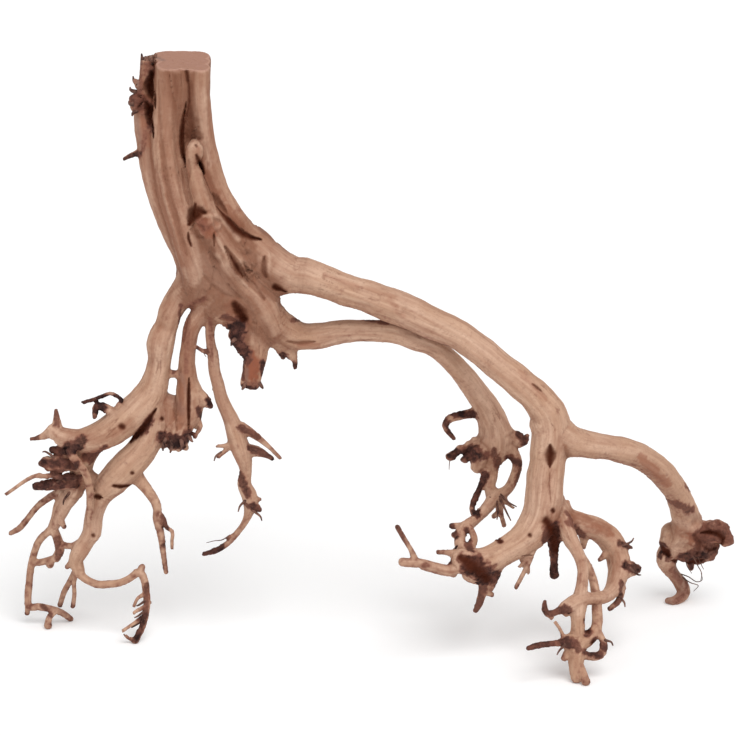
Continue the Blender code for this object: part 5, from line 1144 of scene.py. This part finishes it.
# undersides get bark colour, partly real bark and partly painted shade
paint("bark_and_shade", np.clip(underside_shade * (0.12 + patchy * 0.55 + ragged * 0.5 + low * 0.2), 0, 0.75))
scabs = ramp(0.42, 0.62, noise(points / (8 * MM) + 61.0) * 0.75 + ragged * 0.7)
paint("bark_and_shade", scabs * (0.2 + 0.65 * behind) * free)
veins = along_grain(2.4, 55, 83.0)
paint("tan_and_shade", ramp(0.1, 0.6, veins) * 0.22)
upper = ramp(185 * MM, 215 * MM, points[:, 2])
trunk = ramp(-25 * MM, -52 * MM, points[:, 0]) * ramp(122 * MM, 150 * MM, points[:, 2])
paint("tan_and_shade", trunk * np.clip(0.3 + upper * 0.2 + patchy * 0.35 + veins * 0.4, 0, 1))
paint("tan_and_shade", slim * np.clip(0.3 + patchy * 0.6, 0, 0.7))
# undersides get tan as painted shade
paint("tan_and_shade", underside_shade * 0.35)
paint("ash", rotten * (1 - hollow) * 0.6)
# painted shade in the valleys between roots and in the hollows, and a painted highlight on the
# crests
paint("valley", np.clip(valley / (0.8 * MM), 0, 1) ** 1.3 * free)
paint("valley", ramp(0.05, 0.7, below) * 0.55)
paint("pale_and_highlight", ramp(0.05, 0.7, -below) * 0.4)
masks["split"] = np.clip(splits * 0.8 + ramp(0.16, 0.0, ribs) * 0.2, 0, 1) * free
masks["stain_and_pit_shade"] = stain_and_pit_shade
masks["shade"] = shade * free * 0.9
masks["saw"] = saw_face * (1 - rotten)
near_saw = ramp(-1.3 * MM, -0.5 * MM, (points - saw_point) @ saw_normal)
masks["rim"] = ramp(0.9 * MM, 0.2 * MM, np.abs(gap[:, 0])) * near_saw * 0.5
print({name: round(float(mask.mean()), 3) for name, mask in masks.items()})

# %% [markdown]
# Bark is a crust on the wood and not only a colour, so it is also raised, in chips, before
# the masks are handed to the mesh as attributes that the material can read.

# %% Raise the bark and keep the masks
chips = noise(points / (1.5 * MM) + 71.0) + np.abs(noise(points / (2.6 * MM) + 77.0)) * 1.2 - 0.3
bump = masks["bark_and_shade"] * free * (0.15 + 0.6 * chips) * np.clip(girth / (2.5 * MM), 0.35, 1) * MM
points += outward * bump[:, None]
write_points(wood.data, points)
for name, mask in masks.items():
    wood.data.attributes.new(name, "FLOAT", "POINT").data.foreach_set("value", mask)
print("bark crust in mm:", (bump.min() / MM).round(2), "to", (bump.max() / MM).round(2))

# %% [markdown]
# Fine fibres are thinner than the faces of the skin, so the material draws them. It needs to
# know which way they run. Each face takes its root from the survey, and its corners keep
# their place across and along that root, as an attribute that the shader reads like a map.

# %% Give every corner its place in the grain
mesh = wood.data
corners = np.empty(len(mesh.loops), int)
mesh.loops.foreach_get("vertex_index", corners)
starts = np.empty(len(mesh.polygons), int)
mesh.polygons.foreach_get("loop_start", starts)
sizes = np.empty(len(mesh.polygons), int)
mesh.polygons.foreach_get("loop_total", sizes)
leader = np.repeat(owner[corners[starts], 0], sizes)
slots = (owner[corners] == leader[:, None]).argmax(1)
grain_place = grain[corners, slots] / MM
attribute = mesh.attributes.new("grain", "FLOAT_VECTOR", "CORNER")
attribute.data.foreach_set("vector", grain_place.ravel())
closeness = blend[:, 0] - blend[:, 1]
attribute = mesh.attributes.new("flow", "FLOAT", "POINT")
attribute.data.foreach_set("value", ramp(0.0, 0.7, closeness))
print("corners:", len(corners))

# %% [markdown]
# The wood's material mixes those masks. Streaks along the grain vary the bare wood between
# a light and a deep tan, and each mask then lays its own colour over it. A bump of fine
# fibres and pores breaks up the light. All of it is procedural and fixed to the wood.

# %% The colours, and a helper for the nodes
BARE_LIGHT = (0.66, 0.44, 0.318, 1)
BARE_DEEP = (0.375, 0.195, 0.126, 1)
BARE_WARM = (0.485, 0.288, 0.182, 1)
TAN_DEEP = (0.29, 0.124, 0.074, 1)
# the brown of the painted shade in valleys, hollows, splits and around the marks
PAINTED_SHADE_BROWN = (0.185, 0.068, 0.036, 1)
BARK_RED = (0.210, 0.078, 0.052, 1)
BARK_DARK = (0.022, 0.008, 0.007, 1)
BARK_BROWN = (0.115, 0.044, 0.033, 1)
RUST_RED = (0.270, 0.085, 0.045, 1)
ASH_GREY = (0.230, 0.145, 0.120, 1)
# the dark hearts of pits and cracks: partly stain, partly painted shade
PIT_BLACK = (0.066, 0.012, 0.003, 1)
# pale wood, also the colour of the painted highlights
PALE_WOOD = (0.680, 0.460, 0.340, 1)
SAW_LIGHT = (0.400, 0.215, 0.160, 1)
SAW_RIM = (0.560, 0.330, 0.255, 1)
SPLINTER_RED = (0.22, 0.11, 0.08, 1)
SHINE = 0.14           # dry wood has hardly any


class Shader:
    """A small helper that adds and wires the nodes of one material."""

    def __init__(self, name):
        self.material = bpy.data.materials.new(name)
        self.material.use_nodes = True
        self.nodes = self.material.node_tree.nodes
        self.wire = self.material.node_tree.links.new
        self.surface = self.nodes["Principled BSDF"]

    def add(self, kind, inputs=(), **settings):
        """A new node; an input takes a value or another node's socket."""
        node = self.nodes.new("ShaderNode" + kind)
        for key, value in settings.items():
            setattr(node, key, value)
        for key, value in dict(inputs).items():
            if isinstance(value, bpy.types.NodeSocket):
                self.wire(value, node.inputs[key])
            else:
                node.inputs[key].default_value = value
        return node

    def mask(self, name):
        """The value of a mask that was painted on the vertices."""
        return self.add("Attribute", attribute_name=name).outputs["Fac"]

    def math(self, operation, a, b):
        """A sum or a product, kept between 0 and 1."""
        return self.add("Math", {0: a, 1: b}, operation=operation, use_clamp=True).outputs[0]

    def mix(self, share, underside_shade, over):
        """One colour laid over another by this share."""
        node = self.add("Mix", data_type="RGBA")
        sockets = (node.inputs["Factor"], node.inputs[6], node.inputs[7])
        for socket, value in zip(sockets, (share, underside_shade, over)):
            if isinstance(value, bpy.types.NodeSocket):
                self.wire(value, socket)
            else:
                socket.default_value = value
        return node.outputs[2]

    def noise(self, place, scale, detail=3.0, rough=0.55, low=0.3, high=0.7):
        """Noise that is 0 below low and 1 above high."""
        speckle = self.add("TexNoise", {"Vector": place, "Scale": scale, "Detail": detail,
                                        "Roughness": rough})
        steps = self.add("MapRange", {"Value": speckle.outputs[0], "From Min": low,
                                      "From Max": high})
        return steps.outputs[0]

    def dry_surface(self, roughness):
        """A dull surface with hardly any shine."""
        self.surface.inputs["Roughness"].default_value = roughness
        self.surface.inputs["Specular IOR Level"].default_value = SHINE


print("colours and the node helper are ready")

# %% [markdown]
# The layers are mixed in the order in which they lie on the wood: bare wood, its tan and
# pale parts, with their painted shade and painted highlights, the sawn face, painted shade in
# the valleys, rust, ash, splits darkened with painted shade, the painted shade around the
# marks, then bark in a thin and a thick layer that also carries the painted shade of the
# undersides, and the black hearts of the pits on top, partly stain and partly painted shade.

# %% The wood's material
def wood_shader(name):
    """The material of all the wood, built from the masks and the grain."""
    make = Shader(name)
    place_on = make.add("TexCoord").outputs["Object"]
    fibre_way = make.add("Attribute", attribute_name="grain").outputs["Vector"]
    fine = make.add("Mapping", {"Vector": fibre_way, "Scale": (1.6, 1.6, 0.13)}).outputs[0]
    broad = make.add("Mapping", {"Vector": fibre_way, "Scale": (0.42, 0.42, 0.03)}).outputs[0]
    flow = make.mask("flow")
    fine_fibre = make.noise(fine, 1.0, 4.0, 0.6)
    broad_streak = make.noise(broad, 1.0, 3.0, 0.55, 0.29, 0.7)
    blotch = make.noise(place_on, 75.0, 3.0, 0.55, 0.38, 0.62)
    cloud = make.noise(place_on, 28.0, 2.0, 0.5, 0.38, 0.62)
    colour = make.mix(broad_streak, BARE_DEEP, BARE_LIGHT)
    colour = make.mix(make.math("MULTIPLY", cloud, 0.55), colour, BARE_WARM)
    colour = make.mix(make.math("MULTIPLY", blotch, 0.2), colour, PALE_WOOD)
    # tan, with the painted shade of some patches and of the undersides
    colour = make.mix(make.mask("tan_and_shade"), colour, TAN_DEEP)
    dark_fibre = make.math("MULTIPLY", make.math("MULTIPLY", fine_fibre, flow), 0.2)
    colour = make.mix(dark_fibre, colour, BARE_DEEP)
    # pale weathered wood, and the painted highlight on crests
    colour = make.mix(make.math("MULTIPLY", make.mask("pale_and_highlight"), 0.8), colour, PALE_WOOD)
    ring = make.noise(place_on, 420.0, 2.0, 0.5)
    sawn = make.mix(make.math("MULTIPLY", ring, 0.6), SAW_LIGHT, BARE_DEEP)
    colour = make.mix(make.mask("saw"), colour, sawn)
    colour = make.mix(make.mask("rim"), colour, SAW_RIM)
    # painted shade in the valleys and hollows
    colour = make.mix(make.math("MULTIPLY", make.mask("valley"), 0.7), colour, PAINTED_SHADE_BROWN)
    colour = make.mix(make.mask("rust"), colour, RUST_RED)
    colour = make.mix(make.mask("ash"), colour, ASH_GREY)
    # painted shade in the splits and around the marks
    colour = make.mix(make.math("MULTIPLY", make.mask("split"), 0.45), colour, PAINTED_SHADE_BROWN)
    colour = make.mix(make.mask("shade"), colour, PAINTED_SHADE_BROWN)
    speckle = make.noise(place_on, 560.0, 5.0, 0.7, 0.36, 0.66)
    crust = make.mix(speckle, BARK_DARK, BARK_BROWN)
    scurf = make.noise(place_on, 260.0, 3.0, 0.6, 0.46, 0.64)
    crust = make.mix(make.math("MULTIPLY", scurf, 0.6), crust, BARK_RED)
    crust = make.mix(make.noise(place_on, 150.0, 2.0, 0.5, 0.45, 0.62), crust, BARK_DARK)
    edge = make.math("ADD", make.mask("bark_and_shade"), make.math("MULTIPLY", speckle, 0.3))
    thin_bark_and_shade = make.add("MapRange", {"Value": edge, "From Min": 0.16, "From Max": 0.62}).outputs[0]
    thick_bark_and_shade = make.add("MapRange", {"Value": edge, "From Min": 0.5, "From Max": 1.0}).outputs[0]
    # bark and its crust, which also carry the painted shade of the undersides and of some joints
    colour = make.mix(make.math("MULTIPLY", thin_bark_and_shade, 0.85), colour, BARK_RED)
    colour = make.mix(thick_bark_and_shade, colour, crust)
    # the dark hearts of the pits: partly stain, partly painted shade
    colour = make.mix(make.mask("stain_and_pit_shade"), colour, PIT_BLACK)
    make.wire(colour, make.surface.inputs["Base Color"])
    rough = make.add("MapRange", {"Value": fine_fibre, "To Min": 0.62, "To Max": 0.82}).outputs[0]
    make.wire(rough, make.surface.inputs["Roughness"])
    make.surface.inputs["Specular IOR Level"].default_value = SHINE
    pores = make.add("TexNoise", {"Vector": place_on, "Scale": 900.0, "Detail": 3.0}).outputs[0]
    height = make.math("ADD", make.math("MULTIPLY", fine_fibre, 0.7),
                       make.math("MULTIPLY", pores, 0.4))
    bump_node = make.add("Bump", {"Height": height, "Strength": 0.5, "Distance": 0.35 * MM})
    make.wire(bump_node.outputs[0], make.surface.inputs["Normal"])
    return make.material


bare_wood = wood_shader("bare_root_wood")
wood.data.materials.clear()
wood.data.materials.append(bare_wood)
print("nodes in the wood's material:", len(bare_wood.node_tree.nodes))

# %% [markdown]
# Some parts are too thin for the skin: hair-like rootlets at the burl, splinters round the
# rotten stem and under the rotten foot, and short dead thorns. Each is a tapered tube of its
# own that starts inside the wood. Its line is given in the eye's pixels, its first point is
# thrown onto the skin, and a small random sway keeps the tubes from lying in one plane.

# %% Places of the splinters and rootlets
# lines in pixels, radius at the start and at the tip in mm
SPLINTERS = {
    "burl_rootlets": ([
        [(681, 574), (689, 577), (697, 582), (703, 580), (702, 573)],
        [(682, 577), (691, 583), (699, 586), (694, 592)],
        [(680, 572), (687, 574), (693, 579), (698, 581)],
        [(693, 556), (698, 566), (702, 574), (701, 582)],
        [(697, 555), (701, 564), (704, 570)],
        [(686, 557), (687, 566), (692, 574)],
        [(455, 450), (450, 460), (449, 470)],
        [(196, 346), (202, 351), (206, 357)],
        [(230, 535), (222, 540), (214, 541), (206, 543)],
    ], 0.34, 0.16),
    "stem_splinters": ([
        [(142.5, 64), (142, 58), (141.5, 53.5)],
        [(146.5, 64), (147, 59), (148, 56)],
        [(151, 64), (152, 59), (154, 56.5)],
        [(138, 84), (134, 81), (133, 76)],
        [(136, 92), (131, 90), (130, 87)],
        [(134, 104), (130, 104), (128.5, 101)],
        [(137, 110), (133, 113), (132, 116)],
        [(166, 438), (163, 446), (163, 451)],
        [(172, 440), (171, 449), (170, 453)],
        [(181, 439), (182, 447), (180, 451)],
        [(188, 434), (191, 440), (193, 442)],
        [(246, 383), (243, 388), (242, 390)],
        [(259, 383), (262, 387), (263, 389)],
        [(236, 338), (232, 342), (231, 346)],
    ], 1.3, 0.35),
    "dead_thorns": ([
        [(500, 494), (508, 502), (517, 507)],
        [(499, 496), (505, 509), (511, 521)],
        [(495, 496), (498, 509), (497, 520)],
        [(491, 497), (486, 507), (480, 512)],
        [(222, 449), (217, 446), (213, 447)],
        [(222, 452), (216, 456), (214, 461)],
        [(225, 455), (223, 462), (220, 465)],
        [(246, 500), (240, 506), (238, 512)],
        [(252, 510), (260, 516), (262, 521)],
        [(146, 600), (139, 605), (136, 606)],
        [(146, 610), (138, 616), (134, 618)],
        [(145, 619), (136, 625), (131, 628)],
        [(60, 480), (50, 487), (46, 489)],
        [(55, 458), (46, 452), (42, 452)],
        [(70, 492), (64, 500), (63, 505)],
        [(628, 566), (637, 574), (641, 575)],
        [(622, 546), (631, 542), (634, 538)],
        [(618, 596), (624, 602), (625, 607)],
        [(476, 594), (470, 601), (469, 606)],
        [(458, 546), (452, 551), (447, 550)],
        [(566, 644), (560, 650), (557, 655)],
        [(604, 640), (611, 642), (613, 646)],
    ], 0.8, 0.3),
}
print({name: len(lines) for name, (lines, _, _) in SPLINTERS.items()})

# %% [markdown]
# A line runs in the plane of the view, which is spanned by two directions: across, and down
# as the eye sees it. The sway moves each point a little towards the eye or away from it.

# %% Grow the splinters and rootlets
VIEW_BACK = np.array([0, -math.cos(EYE_TILT), math.sin(EYE_TILT)])
VIEW_DOWN = -np.array([0, math.sin(EYE_TILT), math.cos(EYE_TILT)])
SWAY = 0.25            # mm from one point to the next
SUNK = 0.8             # of the radius, so that the root of a tube is hidden
ABOVE_FLOOR = 0.5 * MM


def splinter(line, thick, thin):
    """Points and radii of one tapered tube that starts inside the wood."""
    root = thrown(line[:1] * 2, tree)
    if not len(root):
        return None
    across, down = (np.array(line) - line[0]).T * PIXEL * MM
    spots = (root[0, :3] - VIEW_BACK * thick * SUNK * MM
             + np.outer(across, (1, 0, 0)) + np.outer(down, VIEW_DOWN))
    moved = np.cumsum(sway.normal(0, SWAY, len(line))) * (np.arange(len(line)) > 0)
    spots += np.outer(moved, VIEW_BACK) * MM
    spots[:, 2] = np.maximum(spots[:, 2], ABOVE_FLOOR)
    return smooth_curve(np.column_stack([spots, np.linspace(thick, thin, len(line)) * MM]))


def smooth_curve(stations, steps=5):
    """A smooth run through all stations (Catmull-Rom)."""
    ends = np.vstack([2 * stations[0] - stations[1], stations, 2 * stations[-1] - stations[-2]])
    t = np.arange(steps)[:, None] / steps
    parts = []
    for a, b, c, d in zip(ends, ends[1:], ends[2:], ends[3:]):
        parts.append(0.5 * (2 * b + (c - a) * t + (2 * a - 5 * b + 4 * c - d) * t**2
                            + (3 * b - a - 3 * c + d) * t**3))
    return np.vstack([*parts, stations[-1:]])


sway = np.random.default_rng(11)
tree = skin_tree()
dry = Shader("dry_splinter")
patch = dry.noise(dry.add("TexCoord").outputs["Object"], 260.0, 3.0, 0.6, 0.35, 0.65)
dry.wire(dry.mix(patch, BARK_DARK, SPLINTER_RED), dry.surface.inputs["Base Color"])
dry.dry_surface(0.75)
splinters = []
for name, (lines, thick, thin) in SPLINTERS.items():
    grown = [run for run in (splinter(line, thick, thin) for line in lines) if run is not None]
    piece = tubes(name, grown, 2)
    piece.data.materials.append(dry.material)
    bpy.ops.object.shade_smooth()
    splinters.append(piece)
    print(name, "tubes:", len(grown), "of", len(lines), "faces:", len(piece.data.polygons))

# %% [markdown]
# The wood stands on a white floor that fills the whole view, in soft light from above and
# the front. A wide soft sun and a white surround light the floor evenly enough to stay
# white, and a second, weaker sun opens the shadows on the left. The floor is stage: it is
# seen in the render and is no part of the wood.

# %% Floor and light
FLOOR_SIZE = 30.0
FLOOR_GAP = 0.05 * MM  # keeps the worn feet and the floor from fighting for one plane
WHITE = (1, 1, 1, 1)
bpy.context.scene.view_settings.view_transform = "Standard"
bpy.ops.object.select_all(action="DESELECT")
bpy.ops.mesh.primitive_plane_add(size=FLOOR_SIZE, location=(0, 0, -FLOOR_GAP))
floor = bpy.context.object
floor.name = "floor"
floor_paint = Shader("floor_paint")
floor_paint.surface.inputs["Base Color"].default_value = (0.88, 0.88, 0.88, 1)
floor_paint.surface.inputs["Roughness"].default_value = 0.9
floor_paint.surface.inputs["Specular IOR Level"].default_value = 0.1
floor_paint.surface.inputs["Emission Color"].default_value = WHITE
floor_paint.surface.inputs["Emission Strength"].default_value = 0.13
floor.data.materials.append(floor_paint.material)
world = bpy.data.worlds.new("white_surround")
world.use_nodes = True
background = world.node_tree.nodes["Background"]
background.inputs["Color"].default_value = WHITE
background.inputs["Strength"].default_value = 0.53
bpy.context.scene.world = world


def sun(name, azimuth, height, strength, softness):
    """A sun that shines from this compass side and height, in degrees; 0 is the front."""
    turn, lift = math.radians(azimuth), math.radians(height)
    flat = math.cos(lift)
    way = Vector((math.sin(turn) * flat, -math.cos(turn) * flat, math.sin(lift)))
    bpy.ops.object.light_add(type="SUN", location=aim + way)
    light = bpy.context.object
    light.name = name
    light.data.energy = strength
    light.data.angle = math.radians(softness)
    light.rotation_euler = way.to_track_quat("Z", "Y").to_euler()


sun("key_sun", 28, 60, 1.8, 40)
sun("front_fill", -35, 25, 0.5, 60)

# %% [markdown]
# One mesh of this size is heavy, so the finished skin is cut into four pieces along planes
# that cross the wood where few roots pass. Each piece is closed at its cuts, and the pieces
# meet without a gap, so the wood still reads as one.

# %% Cut the skin into pieces
SHARP = math.radians(75)   # only edges sharper than this, at the saw cut, stay hard
# name: planes (point in mm, normal), what lies on the normal's side is taken off
PIECES = {
    "trunk_skin": [((-36, 0, 0), (1, 0, 0)), ((0, 0, 134), (0, 0, -1))],
    "left_roots_skin": [((-36, 0, 0), (1, 0, 0)), ((0, 0, 134), (0, 0, 1))],
    "branch_skin": [((-36, 0, 0), (-1, 0, 0)), ((62, 0, 0), (1, 0, 0))],
    "right_roots_skin": [((62, 0, 0), (-1, 0, 0))],
}


def cut_piece(name, planes):
    """A copy of the wood without what lies beyond these planes."""
    bpy.ops.object.select_all(action="DESELECT")
    wood.select_set(True)
    bpy.context.view_layer.objects.active = wood
    bpy.ops.object.duplicate()
    piece = bpy.context.object
    piece.name = name
    for point, normal in planes:
        bisect(piece, Vector(point) * MM, normal)
    bpy.ops.object.shade_smooth_by_angle(angle=SHARP)
    return piece


skins = [cut_piece(name, planes) for name, planes in PIECES.items()]
bpy.data.objects.remove(wood)
print("pieces of the skin:", [piece.name for piece in skins])

# %% [markdown]
# Every piece rides on the only body, root, and stands in for the solid root_wood, which is
# hidden by that.

# %% Tell the frame what each piece is
for piece in skins + splinters:
    triangles = sum(len(face.vertices) - 2 for face in piece.data.polygons)
    print(piece.name, "triangles:", triangles)
    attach(piece, "root")
    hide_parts("root_wood")
